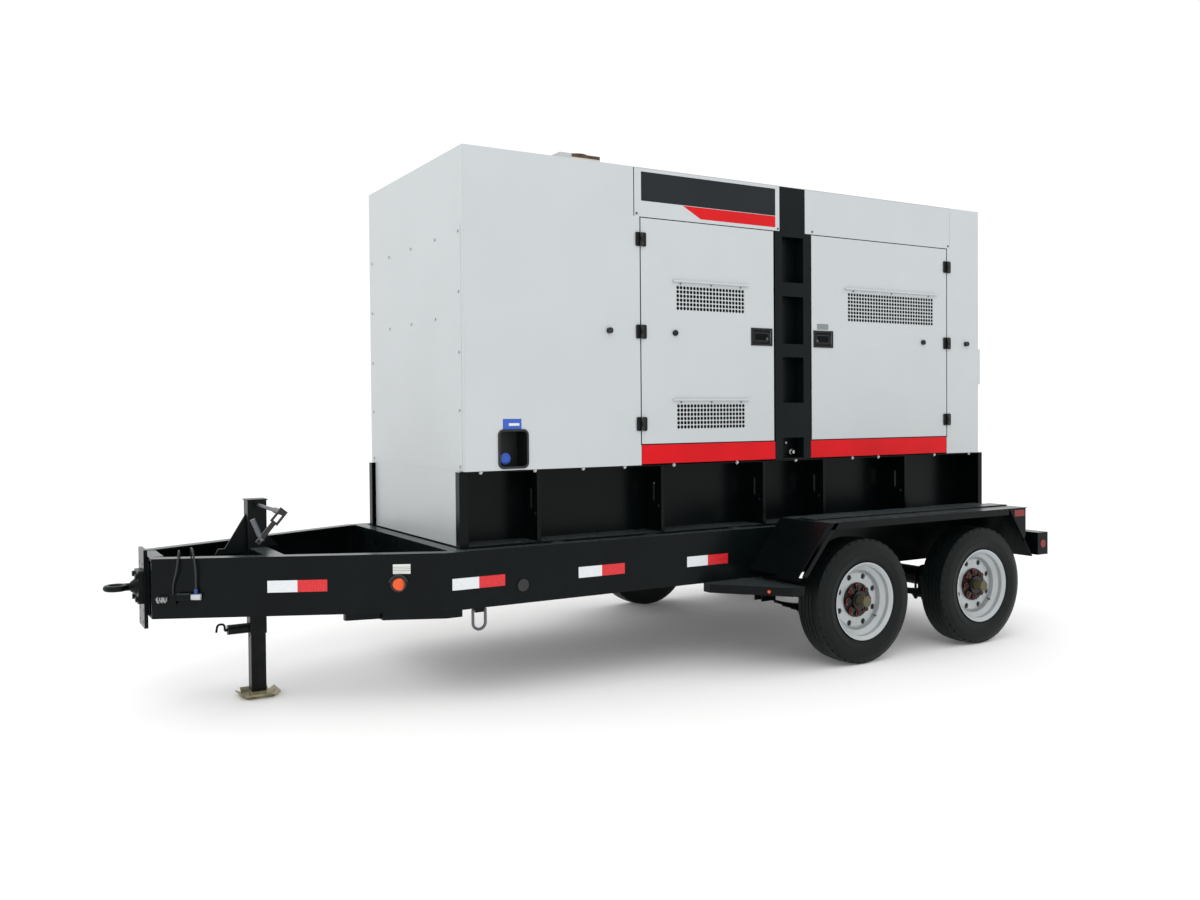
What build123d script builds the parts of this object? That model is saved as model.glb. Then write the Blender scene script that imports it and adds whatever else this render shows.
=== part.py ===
from build123d import *
from math import atan2, cos, degrees, pi, radians, sin, sqrt, tan
import os

# Towable diesel generator: a sound-proofed set on a tandem-axle trailer with a pintle eye.
# Millimetres. X runs rearward and is 0 at the front face of the enclosure, -Y is the left
# side of the trailer, and Z is the height above the ground. Every sub-part is moved along X
# by FRAME_SHIFT as it is written, so that the model's origin is midway along its length.

# ---- enclosure -------------------------------------------------------------------------
ENC_LENGTH = 4060.0
ENC_HALF = 755.0
ENC_FLOOR = 1235.0
ENC_TOP = 2978.0
SKIN = 3.0
RETURN_DEPTH = 40.0
PANEL_GAP = 4.0

DOOR_BOTTOM = 1360.0
DOOR_TOP = 2685.0
FRONT_DOOR_X = (1130.0, 2135.0)
REAR_DOOR_X = (2455.0, 3725.0)
COLUMN_X = (2147.0, 2443.0)
HEADER_X = (1087.0, 2187.0)
REAR_HEADER_X = (2401.0, 3757.0)
HEADER_BOTTOM = 2691.0
HEADER_PROUD = 6.0
SILL_BOTTOM = 1241.0
SILL_TOP = 1353.0

FRONT_DOOR_VENTS = ((1382.0, 1900.0, 2155.0, 2303.0), (1382.0, 1900.0, 1443.0, 1594.0))
REAR_DOOR_VENTS = ((2774.0, 3590.0, 2138.0, 2330.0),)
VENT_HOOD_RISE = 20.0
LATCH_SIZE = (170.0, 110.0)
LATCH_Z = 2014.0
LATCH_MARGIN = 14.0
HINGE_LENGTH = 76.0
HINGE_LEAF = 32.0
HINGE_LEAF_T = 5.0
HINGE_PIN_R = 5.0
HINGE_OUT = 15.0
HINGE_HEIGHTS = (1477.0, 2018.0, 2558.0)
STOP_KNOB_R = 17.0
STOP_KNOB_OFFSET = 240.0

COLUMN_WINDOWS = ((1245.0, 1375.0), (1599.0, 1891.0), (1976.0, 2280.0), (2369.0, 2659.0))
COLUMN_WINDOW_WIDTH = 178.0
COLUMN_DEPTH = 90.0

FILL_X = (205.0, 372.0)
FILL_Z = (1252.0, 1450.0)
FILL_RADIUS = 32.0
FILL_DEPTH = 120.0

REAR_DOOR_HALF = 430.0
REAR_DOOR_Z = (1420.0, 2560.0)
ROOF_VENT_X = (140.0, 560.0)
ROOF_VENT_HALF = 520.0

OUTLET_X = 897.0
OUTLET_Y = -400.0
OUTLET_R = 68.0
OUTLET_BOX = (735.0, 1010.0, -500.0, -300.0)
OUTLET_RISE = 100.0

# ---- skid base with its fuel tank --------------------------------------------------------
BASE_X = (-26.0, 4125.0)
BASE_HALF = 735.0
TANK_HALF = 530.0
BASE_PLATE = 6.0
RIB_X = (464.0, 1299.0, 2080.0, 2590.0, 3347.0)
RIB_FLANGE = 22.0
RIB_SLOT = (16.0, 110.0)
RIB_HOLE_R = 9.0
CORNER_POST = 50.0

# ---- trailer frame -------------------------------------------------------------------------
BEAM_TOP = 824.0
BEAM_DEPTH = 305.0
BEAM_HALF = 851.0
BEAM_FLANGE = 75.0
BEAM_WEB = 9.0
BEAM_FLANGE_T = 13.0
BEND_X = -150.0
NOSE_X = -1493.0
TONGUE_ANGLE = 25.0
FRAME_REAR = 4010.0
CROSS_WIDTH = 75.0
CROSS_WEB = 8.0
CROSS_X = (-110.0, 520.0, 1150.0, 1780.0, 2890.0, 3935.0)

HITCH_PLATE = (190.0, 406.0, 19.0)
HITCH_PLATE_Z = 653.0
HITCH_HOLE_R = 8.75
HITCH_HOLE_SPACING = 114.0
HITCH_HOLE_PITCH = 60.0
EYE_Z = 660.0
EYE_HOLE_R = 31.75
EYE_SECTION_R = 16.0
EYE_REACH = 122.0
EYE_FLANGE = (158.0, 172.0, 25.0)

# ---- jack ------------------------------------------------------------------------------------
JACK_X = -925.0
JACK_TUBE = 102.0
JACK_WALL = 5.5
JACK_TOP = 1088.0
JACK_BOTTOM = 500.0
RAM_TUBE = 90.0
RAM_WALL = 4.5
RAM_TRAVEL = 304.8
LEG_TUBE = 80.0
LEG_WALL = 5.0
LEG_TRAVEL = 250.0
PIN_Z = 379.0
PIN_R = 8.0
PIN_HOUSING_R = 27.0
PIN_HOUSING_LENGTH = 112.0
FOOT_SIZE = 215.0
FOOT_PLATE = 8.0
SHAFT_Z = 1058.0
SHAFT_R = 10.0
SHAFT_END_Y = -590.0
CRANK_ARM = 175.0
CRANK_ARM_LEAN = 40.0
GRIP_LEAN = 22.0
GRIP_LENGTH = 112.0
GRIP_R = 13.0

# ---- running gear ------------------------------------------------------------------------------
AXLE_X = (2400.0, 3455.0)
TYRE_R = 385.0
TYRE_WIDTH = 208.0
RIM_R = 237.0
RIM_SEAT_R = 222.0
RIM_WIDTH = 188.0
WHEEL_Y = 1184.0
DISC_Y = 1201.0
HUB_FLANGE_R = 106.0
HUB_BARREL_R = 57.0
HUB_CAP_R = 33.0
HUB_CAP_END = 1295.0
BOLT_CIRCLE_R = 82.5
BOLT_COUNT = 8
HAND_HOLE_R = 18.0
HAND_HOLE_CIRCLE_R = 150.0
SPINDLE_R = 30.0
SPINDLE_FIT = 0.05
AXLE_TUBE_R = 63.5
AXLE_HALF = 1030.0
SPRING_INSET = 38.0
SPRING_Y = BEAM_HALF - SPRING_INSET
SPRING_WIDTH = 50.0
SPRING_EYE_R = 18.0
SPRING_BOLT_R = 10.0
SPRING_HALF = 395.0
SPRING_EYE_Z = 398.0
EQUALIZER_Z = 440.0
EQUALIZER_ARM = 127.5
HANGER_PLATE = 8.0
HANGER_GAP = 29.0
SLIPPER_GAP = 2.0
SLIPPER_SHARE = 0.8
SLIPPER_TAIL = 45.0

FENDER_HALF = 1290.0
FENDER_Z = 880.0
FENDER_TOP_X = (2103.0, 3719.0)
FENDER_FOOT_X = (1851.0, 3955.0)
FENDER_FOOT_Z = (574.0, 542.0)
FENDER_REAR_X = 3898.0
FENDER_SHEET = 4.0
FENDER_LIP = 42.0

STEP_TIP_X = 1500.0
STEP_NOSE = 60.0
STEP_OUT_X = 1815.0
STEP_END_X = 1905.0
STEP_TOP = 522.0
STEP_DEPTH = 52.0
BUMPER_Z = (547.0, 700.0)
BUMPER_DEPTH = 105.0
BUMPER_WALL = 5.0
TAIL_LAMP_R = 52.0
TAIL_LAMP_PROUD = 12.0
MARKER_R = 31.0
MARKER_PROUD = 16.0

DRING_X = 47.0
DRING_R = 36.0
DRING_LEG = 68.0
DRING_ROD_R = 8.0
DRING_DROP = 13.0

# ---- engine set ----------------------------------------------------------------------------------
ENGINE_X = (1320.0, 2420.0)
ENGINE_HALF = 240.0
ENGINE_SUMP_Z = 1330.0
CRANK_Z = 1660.0
ALTERNATOR_X = (2480.0, 3240.0)
ALTERNATOR_R = 320.0
RADIATOR_X = (960.0, 1080.0)
RADIATOR_HALF = 560.0
RADIATOR_Z = (1295.0, 2480.0)
FAN_X = 1175.0
FAN_R = 430.0
FAN_BLADES = 8
SHROUD_SIDES = 12

# ---- tow cable -----------------------------------------------------------------------------------
CABLE_R = 6.0

FRAME_SHIFT = -((NOSE_X - HITCH_PLATE[2] - EYE_REACH - EYE_HOLE_R - 2 * EYE_SECTION_R + 1.0)
                + FRAME_REAR + BUMPER_DEPTH + TAIL_LAMP_PROUD) / 2
BEAM_BOTTOM = BEAM_TOP - BEAM_DEPTH
LEFT, RIGHT = -1, 1


# ---- helpers ---------------------------------------------------------------------------------------
def block(x0, x1, y0, y1, z0, z1):
    """Box between two opposite corners."""
    centre = Pos((x0 + x1) / 2, (y0 + y1) / 2, (z0 + z1) / 2)
    return centre * Box(abs(x1 - x0), abs(y1 - y0), abs(z1 - z0))


def side_block(side, x0, x1, y_in, y_out, z0, z1):
    """Box on one side of the trailer, between two distances from its centre plane."""
    return block(x0, x1, side * y_in, side * y_out, z0, z1)


def bar_y(radius, x, z, y0, y1):
    """Round bar along Y between y0 and y1."""
    return Pos(x, (y0 + y1) / 2, z) * Rot(90, 0, 0) * Cylinder(radius, abs(y1 - y0))


def bar_x(radius, y, z, x0, x1):
    """Round bar along X between x0 and x1."""
    return Pos((x0 + x1) / 2, y, z) * Rot(0, 90, 0) * Cylinder(radius, abs(x1 - x0))


def bar_z(radius, x, y, z0, z1):
    """Upright round bar between z0 and z1."""
    return Pos(x, y, (z0 + z1) / 2) * Cylinder(radius, abs(z1 - z0))


def prism_z(points, z0, z1):
    """Upright prism over a plan outline."""
    outline = make_face(Polyline(*points, close=True))
    return extrude(Pos(0, 0, z0) * outline, z1 - z0)


def prism_y(points, y0, y1):
    """Prism along Y over an outline given as X and Z."""
    face = make_face(Polyline(*[(x, y0, z) for x, z in points], close=True))
    return extrude(face, abs(y1 - y0), dir=(0, 1 if y1 > y0 else -1, 0))


def other_side(shape):
    """The same shape on the right-hand side."""
    return mirror(shape, about=Plane.XZ)


def hex_bar_x(across, y, z, x0, x1):
    """Hexagon along X, such as a bolt head."""
    return Pos(x0, y, z) * Rot(0, 90, 0) * extrude(RegularPolygon(across / sqrt(3), 6), x1 - x0)


def group(*shapes):
    """One node of separate solids."""
    return Compound([solid for shape in shapes for solid in shape.solids()])


def write(name, shape):
    """Write one sub-part at its place in the model's own frame."""
    export_step(Pos(FRAME_SHIFT, 0, 0) * shape, f"parts/{name}.step")


# ---- trailer frame -----------------------------------------------------------------------------------
def bend_point(offset):
    """Plan corner between main and tongue beam, set in from the outer face."""
    return (BEND_X + offset * tan(radians(TONGUE_ANGLE / 2)), BEAM_HALF - offset)


def tongue_y(x, offset):
    """Distance of the tongue beam from the centre plane at x, set in from its outer face."""
    angle = radians(TONGUE_ANGLE)
    return BEAM_HALF - (BEND_X - x) * tan(angle) - offset / cos(angle)


def channel_from_plan(strip):
    """Channel with its web outside, from a function that gives a plan strip by offsets."""
    web = prism_z(strip(0, BEAM_WEB), BEAM_BOTTOM, BEAM_TOP)
    top = prism_z(strip(0, BEAM_FLANGE), BEAM_TOP - BEAM_FLANGE_T, BEAM_TOP)
    bottom = prism_z(strip(0, BEAM_FLANGE), BEAM_BOTTOM, BEAM_BOTTOM + BEAM_FLANGE_T)
    return web + top + bottom


def main_strip(d0, d1):
    return [bend_point(d0), (FRAME_REAR, BEAM_HALF - d0), (FRAME_REAR, BEAM_HALF - d1), bend_point(d1)]


def tongue_strip(d0, d1):
    return [(NOSE_X, tongue_y(NOSE_X, d0)), bend_point(d0), bend_point(d1), (NOSE_X, tongue_y(NOSE_X, d1))]


def main_beams():
    beam = channel_from_plan(main_strip)
    return group(beam, other_side(beam))


def hitch_holes():
    """Two columns of bolt holes through the drilled plate."""
    width, height, thickness = HITCH_PLATE
    rows = range(-3, 3)
    for side in (LEFT, RIGHT):
        for row in rows:
            z = EYE_Z + HITCH_HOLE_PITCH * row
            yield bar_x(HITCH_HOLE_R, side * HITCH_HOLE_SPACING / 2, z, NOSE_X - thickness - 1, NOSE_X + 1)


def tongue_beams():
    """The two converging beams, the box that closes them and the drilled hitch plate."""
    beam = channel_from_plan(tongue_strip)
    width, height, thickness = HITCH_PLATE
    half = tongue_y(NOSE_X, BEAM_FLANGE)
    nose = block(NOSE_X, NOSE_X + 72, -half, half, BEAM_BOTTOM, BEAM_TOP)
    nose -= block(NOSE_X + 12, NOSE_X + 73, -half + 12, half - 12, BEAM_BOTTOM + 12, BEAM_TOP - 12)
    plate = block(NOSE_X - thickness, NOSE_X, -width / 2, width / 2,
                  HITCH_PLATE_Z - height / 2, HITCH_PLATE_Z + height / 2)
    for hole in hitch_holes():
        plate -= hole
        nose -= Pos(thickness, 0, 0) * hole
    return group(beam, other_side(beam), nose, plate)


def tow_eye():
    """Forged pintle eye on a bolted flange, with its four bolts."""
    width, height, thickness = EYE_FLANGE
    face = NOSE_X - HITCH_PLATE[2]
    centre_x = face - EYE_REACH
    ring = Pos(centre_x, 0, EYE_Z) * Torus(EYE_HOLE_R + EYE_SECTION_R - 1, EYE_SECTION_R)
    shank_from = centre_x + EYE_HOLE_R + EYE_SECTION_R
    shank = bar_x(20, 0, EYE_Z, shank_from - 6, face - thickness + 2)
    boss = Pos(face - thickness - 14, 0, EYE_Z) * Rot(0, 90, 0) * Cone(24, 48, 30)
    flange = block(face - thickness, face, -width / 2, width / 2, EYE_Z - height / 2, EYE_Z + height / 2)
    flange = fillet(flange.edges().filter_by(Axis.X), 18)
    eye = ring + shank + boss + flange
    eye -= bar_z(EYE_HOLE_R, centre_x, 0, EYE_Z - 40, EYE_Z + 40)
    bolts = []
    for side in (LEFT, RIGHT):
        for up in (-HITCH_HOLE_PITCH, HITCH_HOLE_PITCH):
            y, z = side * HITCH_HOLE_SPACING / 2, EYE_Z + up
            eye -= bar_x(8.5, y, z, face - thickness - 1, face + 1)
            head = hex_bar_x(26, y, z, face - thickness - 13, face - thickness)
            bolts.append(head + bar_x(8, y, z, face - thickness - 1, NOSE_X + 30))
    return group(eye, *bolts)


def cross_channel(x, z0, z1):
    """Channel across the frame with its web at the front, coped to reach the beams' webs."""
    half = BEAM_HALF - BEAM_WEB
    lip = BEAM_HALF - BEAM_FLANGE
    member = block(x, x + CROSS_WIDTH, -half, half, z0, z1)
    member -= block(x + CROSS_WEB, x + CROSS_WIDTH + 1, -half - 1, half + 1, z0 + CROSS_WEB, z1 - CROSS_WEB)
    for side in (LEFT, RIGHT):
        for z in (BEAM_TOP - BEAM_FLANGE_T, BEAM_BOTTOM):
            member -= side_block(side, x - 1, x + CROSS_WIDTH + 1, lip, half + 1, z, z + BEAM_FLANGE_T)
    return member


def jack_mount(side):
    """Downward-open box between the jack tube and one tongue beam."""
    x0, x1 = JACK_X - 47, JACK_X + 47
    inner = JACK_TUBE / 2
    def plan(a, b, y_in):
        return [(a, side * y_in), (a, side * (tongue_y(a, BEAM_FLANGE))),
                (b, side * (tongue_y(b, BEAM_FLANGE))), (b, side * y_in)]
    shell = prism_z(plan(x0, x1, inner), BEAM_BOTTOM, BEAM_TOP)
    room = prism_z(plan(x0 + CROSS_WEB, x1 - CROSS_WEB, inner + CROSS_WEB), BEAM_BOTTOM - 1, BEAM_TOP - 10)
    return shell - room


def tongue_gussets(side):
    """Doubling bars under the corner where the tongue beam meets the main beam."""
    front = prism_z([(-620, side * 590), (-450, side * 590), (-450, side * 665), (-620, side * 625)],
                    BEAM_BOTTOM - 36, BEAM_BOTTOM)
    rear = prism_z([(-448, side * 640), (-60, side * 640), (-60, side * 840), (-150, side * 840),
                    (-448, side * 705)], BEAM_BOTTOM - 38, BEAM_BOTTOM)
    return [front, rear]


def crossmembers():
    members = [cross_channel(x, BEAM_BOTTOM, BEAM_TOP) for x in (CROSS_X[0], CROSS_X[-1])]
    members += [cross_channel(x, BEAM_TOP - 152, BEAM_TOP) for x in CROSS_X[1:-1]]
    for side in (LEFT, RIGHT):
        members += [jack_mount(side), *tongue_gussets(side)]
    return group(*members)


# ---- jack --------------------------------------------------------------------------------------------
def square_tube(x, outer, wall, z0, z1):
    half = outer / 2
    tube = block(x - half, x + half, -half, half, z0, z1)
    tube = fillet(tube.edges().filter_by(Axis.Z), 6)
    room = half - wall
    return tube - block(x - room, x + room, -room, room, z0 - 1, z1 + 1)


def jack_housing():
    """Outer tube with its cap, gear head, diagonal brace and the far shaft bearing."""
    half = JACK_TUBE / 2
    tube = square_tube(JACK_X, JACK_TUBE, JACK_WALL, JACK_BOTTOM, JACK_TOP - 6)
    cap = block(JACK_X - half - 4, JACK_X + half + 4, -half - 4, half + 4, JACK_TOP - 6, JACK_TOP)
    bearing = bar_y(20, JACK_X, SHAFT_Z, -half - 24, -half)
    hole = bar_y(SHAFT_R + 0.05, JACK_X, SHAFT_Z, -half - 30, -half + JACK_WALL + 4)
    brace = prism_y([(JACK_X - half, 975), (JACK_X - half, 1010), (JACK_X - 165, BEAM_TOP),
                     (JACK_X - 200, BEAM_TOP), (JACK_X - 215, BEAM_TOP - 30), (JACK_X - half, BEAM_TOP - 30)],
                    -6, 6)
    stay = prism_y([(JACK_X + half, 900), (JACK_X + half, BEAM_TOP), (JACK_X + 120, BEAM_TOP)], -6, 6)
    return group((tube + bearing + cap) - hole, brace, stay)


def jack_ram():
    """Telescoping tube driven by the screw, with the pin housing at its foot."""
    half = RAM_TUBE / 2
    bottom = PIN_Z - PIN_HOUSING_R - 2
    tube = square_tube(JACK_X, RAM_TUBE, RAM_WALL, bottom, JACK_TOP - 70)
    housing = bar_x(PIN_HOUSING_R, 0, PIN_Z, JACK_X - half - PIN_HOUSING_LENGTH, JACK_X - half)
    bore = bar_x(PIN_R + 0.05, 0, PIN_Z, JACK_X - half - PIN_HOUSING_LENGTH - 1, JACK_X - half + RAM_WALL + 1)
    return tube + housing - bore


def drop_leg():
    """Inner leg with a column of pin holes, and the dished foot welded to it."""
    tube = square_tube(JACK_X, LEG_TUBE, LEG_WALL, FOOT_PLATE, 660)
    for step in range(0, 7):
        z = PIN_Z + step * 42 - 42
        tube -= bar_x(PIN_R + 1, 0, z, JACK_X - LEG_TUBE / 2 - 1, JACK_X - LEG_TUBE / 2 + LEG_WALL + 1)
    half = FOOT_SIZE / 2
    flat = block(JACK_X - half + 34, JACK_X + half - 34, -half + 34, half - 34, 0, FOOT_PLATE)
    foot = flat
    for turn in range(4):
        wing = prism_y([(half - 36, 0), (half - 36, FOOT_PLATE), (half, 22 + FOOT_PLATE), (half, 22)],
                       -half + 34, half - 34)
        foot += Pos(JACK_X, 0, 0) * Rot(0, 0, 90 * turn) * wing
    return tube + foot


def jack_pin():
    """Spring plunger with its bent pull handle."""
    half = RAM_TUBE / 2
    outer = JACK_X - half - PIN_HOUSING_LENGTH
    rod = bar_x(PIN_R, 0, PIN_Z, outer - 16, JACK_X - half + RAM_WALL - 0.5)
    route = FilletPolyline((outer - 14, 0, PIN_Z), (outer - 14, 0, PIN_Z + 34), (outer - 52, 0, PIN_Z + 34),
                           (outer - 58, 0, PIN_Z - 8), radius=17)
    hook = sweep(Plane(origin=route @ 0, z_dir=route % 0) * Circle(6), path=route)
    return rod + hook


def crank_frame(y):
    """Plane across the crank arm: local X runs down the arm from the shaft."""
    lean = radians(CRANK_ARM_LEAN)
    return Plane(origin=(JACK_X, y, SHAFT_Z), x_dir=(-sin(lean), 0, -cos(lean)), z_dir=(0, -1, 0))


def grip_frame():
    """Place of the grip's fold pin: local X along the pin, local Z along the folded grip."""
    lean = radians(GRIP_LEAN)
    origin = crank_frame(SHAFT_END_Y - 16).from_local_coords((CRANK_ARM - 6, 0, 0))
    return Plane(origin=origin, x_dir=(cos(lean), 0, sin(lean)), z_dir=(-sin(lean), 0, cos(lean)))


def jack_crank():
    """Cross shaft that reaches out over the left tongue beam, its yoke, crank arm and fold ears."""
    half = JACK_TUBE / 2
    shaft = bar_y(SHAFT_R, JACK_X, SHAFT_Z, SHAFT_END_Y, -half + JACK_WALL + 2)
    sleeve = bar_y(SHAFT_R + 5, JACK_X, SHAFT_Z, SHAFT_END_Y, SHAFT_END_Y + 150)
    frame = crank_frame(SHAFT_END_Y + 10)
    yoke = frame * (Pos(26, 0, 6) * Box(84, 44, 12)) - frame * (Pos(32, 0, 6) * Box(50, 22, 13))
    arm = frame * (Pos(68 + (CRANK_ARM - 50) / 2, 0, 6) * Box(CRANK_ARM - 50, 24, 10))
    fold = grip_frame()
    ears = [fold * (Pos(side * 9.5, 3, 0) * Box(5, 24, 18)) for side in (LEFT, RIGHT)]
    pin = fold * (Rot(0, 90, 0) * Cylinder(4, 24))
    return shaft + sleeve + yoke + arm + ears[0] + ears[1] + pin


def crank_grip():
    """Grip that folds up beside the arm, with its eye round the fold pin."""
    fold = grip_frame()
    eye = fold * (Rot(0, 90, 0) * Cylinder(9, 13))
    hole = fold * (Rot(0, 90, 0) * Cylinder(4.05, 20))
    rod = fold * (Pos(0, 0, 28) * Cylinder(6, 44))
    sleeve = fold * (Pos(0, 0, 22 + (GRIP_LENGTH - 22) / 2) * Cylinder(GRIP_R, GRIP_LENGTH - 22))
    return eye + rod + sleeve - hole


# ---- running gear ------------------------------------------------------------------------------------
def ring_y(points, x, side):
    """Solid of revolution about a wheel axis; points are radius and distance from centre plane."""
    face = make_face(Polyline(*[(r, 0, y) for r, y in points], close=True))
    solid = revolve(face, Axis.Z)
    turned = Rot(90, 0, 0) * solid
    return Pos(x, 0, TYRE_R) * (other_side(turned) if side > 0 else turned)


def tyre(x, side):
    """Tyre carcass, hollow, with its beads on the rim seats."""
    half = TYRE_WIDTH / 2
    bead = RIM_SEAT_R + 1
    wide = RIM_WIDTH / 2 - 13
    c = WHEEL_Y
    outer = [(bead, c - wide), (bead + 22, c - wide - 6), (RIM_R + 38, c - half), (RIM_R + 70, c - half + 1),
             (TYRE_R - 28, c - half + 12), (TYRE_R - 6, c - half + 26), (TYRE_R, c - 40),
             (TYRE_R, c + 40), (TYRE_R - 6, c + half - 26), (TYRE_R - 28, c + half - 12),
             (RIM_R + 70, c + half - 1), (RIM_R + 38, c + half), (bead + 22, c + wide + 6), (bead, c + wide)]
    inner = [(bead, c + wide - 26), (RIM_R + 36, c + half - 16), (TYRE_R - 30, c + half - 34),
             (TYRE_R - 30, c - half + 34), (RIM_R + 36, c - half + 16), (bead, c - wide + 26)]
    return ring_y(outer + inner, x, side)


def rim(x, side):
    """Steel disc wheel with hand holes, its hub, nuts and oil cap."""
    half = RIM_WIDTH / 2
    c = WHEEL_Y
    seat = RIM_SEAT_R
    band = ring_y([(RIM_R, c - half), (seat, c - half + 12), (seat - 6, c - half + 60), (seat - 30, c - 20),
                   (seat - 30, c + 40), (seat - 2, c + half - 38), (seat, c + half - 12), (RIM_R, c + half),
                   (RIM_R - 8, c + half), (seat - 9, c + half - 14), (seat - 11, c + half - 38),
                   (seat - 39, c + 36), (seat - 39, c - 20), (seat - 15, c - half + 58),
                   (seat - 9, c - half + 12), (RIM_R - 8, c - half)], x, side)
    dish = ring_y([(HUB_BARREL_R + 2, DISC_Y - 10), (seat - 62, DISC_Y - 10), (seat - 38.9, DISC_Y - 22),
                   (seat - 38.9, DISC_Y - 8), (seat - 58, DISC_Y), (HUB_BARREL_R + 2, DISC_Y)], x, side)
    for index in range(BOLT_COUNT):
        turn = 2 * pi * (index + 0.5) / BOLT_COUNT
        hx = x + HAND_HOLE_CIRCLE_R * cos(turn)
        hz = TYRE_R + HAND_HOLE_CIRCLE_R * sin(turn)
        dish -= bar_y(HAND_HOLE_R, hx, hz, side * (DISC_Y - 40), side * (DISC_Y + 10))
    return group(band + dish, *hub(x, side))


def hub(x, side):
    """Hub with its drum behind the disc, the studs' nuts and the oil cap."""
    front = DISC_Y + 8
    flange = bar_y(HUB_FLANGE_R, x, TYRE_R, side * DISC_Y, side * front)
    barrel = bar_y(HUB_BARREL_R, x, TYRE_R, side * (DISC_Y - 60), side * (front + 26))
    cap = bar_y(HUB_CAP_R, x, TYRE_R, side * (front + 26), side * HUB_CAP_END)
    drum = bar_y(168, x, TYRE_R, side * (DISC_Y - 150), side * (DISC_Y - 10))
    drum -= bar_y(155, x, TYRE_R, side * (DISC_Y - 151), side * (DISC_Y - 24))
    drum -= bar_y(HUB_BARREL_R, x, TYRE_R, side * (DISC_Y - 30), side * DISC_Y)
    bore = bar_y(SPINDLE_R + SPINDLE_FIT, x, TYRE_R, side * (DISC_Y - 61), side * (front + 16))
    pieces = [flange + barrel - bore, cap, drum]
    for index in range(BOLT_COUNT):
        turn = 2 * pi * index / BOLT_COUNT
        nx = x + BOLT_CIRCLE_R * cos(turn)
        nz = TYRE_R + BOLT_CIRCLE_R * sin(turn)
        nut = extrude(RegularPolygon(17, 6), 22)
        spin = Rot(90, 0, 0) if side < 0 else Rot(-90, 0, 0)
        pieces.append(Pos(nx, side * front, nz) * spin * nut)
    return pieces


def spring_seat():
    """Height of the top of the main leaf under the axle."""
    return TYRE_R - AXLE_TUBE_R - 14


def eye_direction(x):
    """Which way along X the spring's fixed eye lies: forward for the front axle."""
    return -1 if x == AXLE_X[0] else 1


def slipper_height():
    """Height of the flat end of the main leaf, on which the equalizer's pad bears."""
    return spring_seat() + (SPRING_EYE_Z - 12 - spring_seat()) * SLIPPER_SHARE ** 2


def main_leaf(x, way, y0, y1):
    """Bowed strip with an eye at its fixed end and a flat slipper at the other."""
    top = spring_seat()
    eye_x, flat_x = x + way * SPRING_HALF, x - way * SPRING_HALF * SLIPPER_SHARE
    end_x = x - way * (SPRING_HALF + SLIPPER_TAIL)
    flat_z, eye_z = slipper_height(), SPRING_EYE_Z - 12
    edges = [ThreePointArc((eye_x, y0, eye_z), (x, y0, top), (flat_x, y0, flat_z)),
             Line((flat_x, y0, flat_z), (end_x, y0, flat_z)),
             Line((end_x, y0, flat_z), (end_x, y0, flat_z - 10)),
             Line((end_x, y0, flat_z - 10), (flat_x, y0, flat_z - 10)),
             ThreePointArc((flat_x, y0, flat_z - 10), (x, y0, top - 10), (eye_x, y0, eye_z - 10)),
             Line((eye_x, y0, eye_z - 10), (eye_x, y0, eye_z))]
    leaf = extrude(make_face(edges), abs(y1 - y0), dir=(0, 1 if y1 > y0 else -1, 0))
    leaf += bar_y(SPRING_EYE_R, eye_x, SPRING_EYE_Z, y0, y1)
    return leaf - bar_y(SPRING_BOLT_R + 0.05, eye_x, SPRING_EYE_Z, y0, y1)


def leaf_spring(x, side):
    """Slipper spring under the axle: the main leaf and three shorter bowed strips."""
    y0, y1 = side * (SPRING_Y - SPRING_WIDTH / 2), side * (SPRING_Y + SPRING_WIDTH / 2)
    seat = spring_seat()
    leaves = [main_leaf(x, eye_direction(x), y0, y1)]
    for index, share in enumerate((0.77, 0.6, 0.42)):
        reach = SPRING_HALF * share
        rise = (SPRING_EYE_Z - 12 - seat) * share * share
        top = seat - 10.3 * (index + 1)
        upper = ThreePointArc((x - reach, y0, top + rise), (x, y0, top), (x + reach, y0, top + rise))
        lower = ThreePointArc((x + reach, y0, top + rise - 10), (x, y0, top - 10),
                              (x - reach, y0, top + rise - 10))
        ends = [Line(upper @ 1, lower @ 0), Line(lower @ 1, upper @ 0)]
        face = make_face([upper, ends[0], lower, ends[1]])
        leaves.append(extrude(face, abs(y1 - y0), dir=(0, 1 if y1 > y0 else -1, 0)))
    return leaves


def u_bolts(x, side, low):
    """Two bolts bent over the axle tube and down through the clamp plate."""
    bend_r = AXLE_TUBE_R + 8.5
    bolts = []
    for y in (side * (SPRING_Y - 34), side * (SPRING_Y + 34)):
        arch = Pos(x, y, TYRE_R) * Rot(90, 0, 0) * Torus(bend_r, 8)
        arch &= block(x - 100, x + 100, y - 20, y + 20, TYRE_R, TYRE_R + 100)
        legs = [bar_z(8, x + end * bend_r, y, low - 34, TYRE_R) for end in (-1, 1)]
        nuts = [bar_z(14, x + end * bend_r, y, low - 28, low - 14) for end in (-1, 1)]
        bolts.append(arch + legs[0] + legs[1] + nuts[0] + nuts[1])
    return bolts


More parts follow.
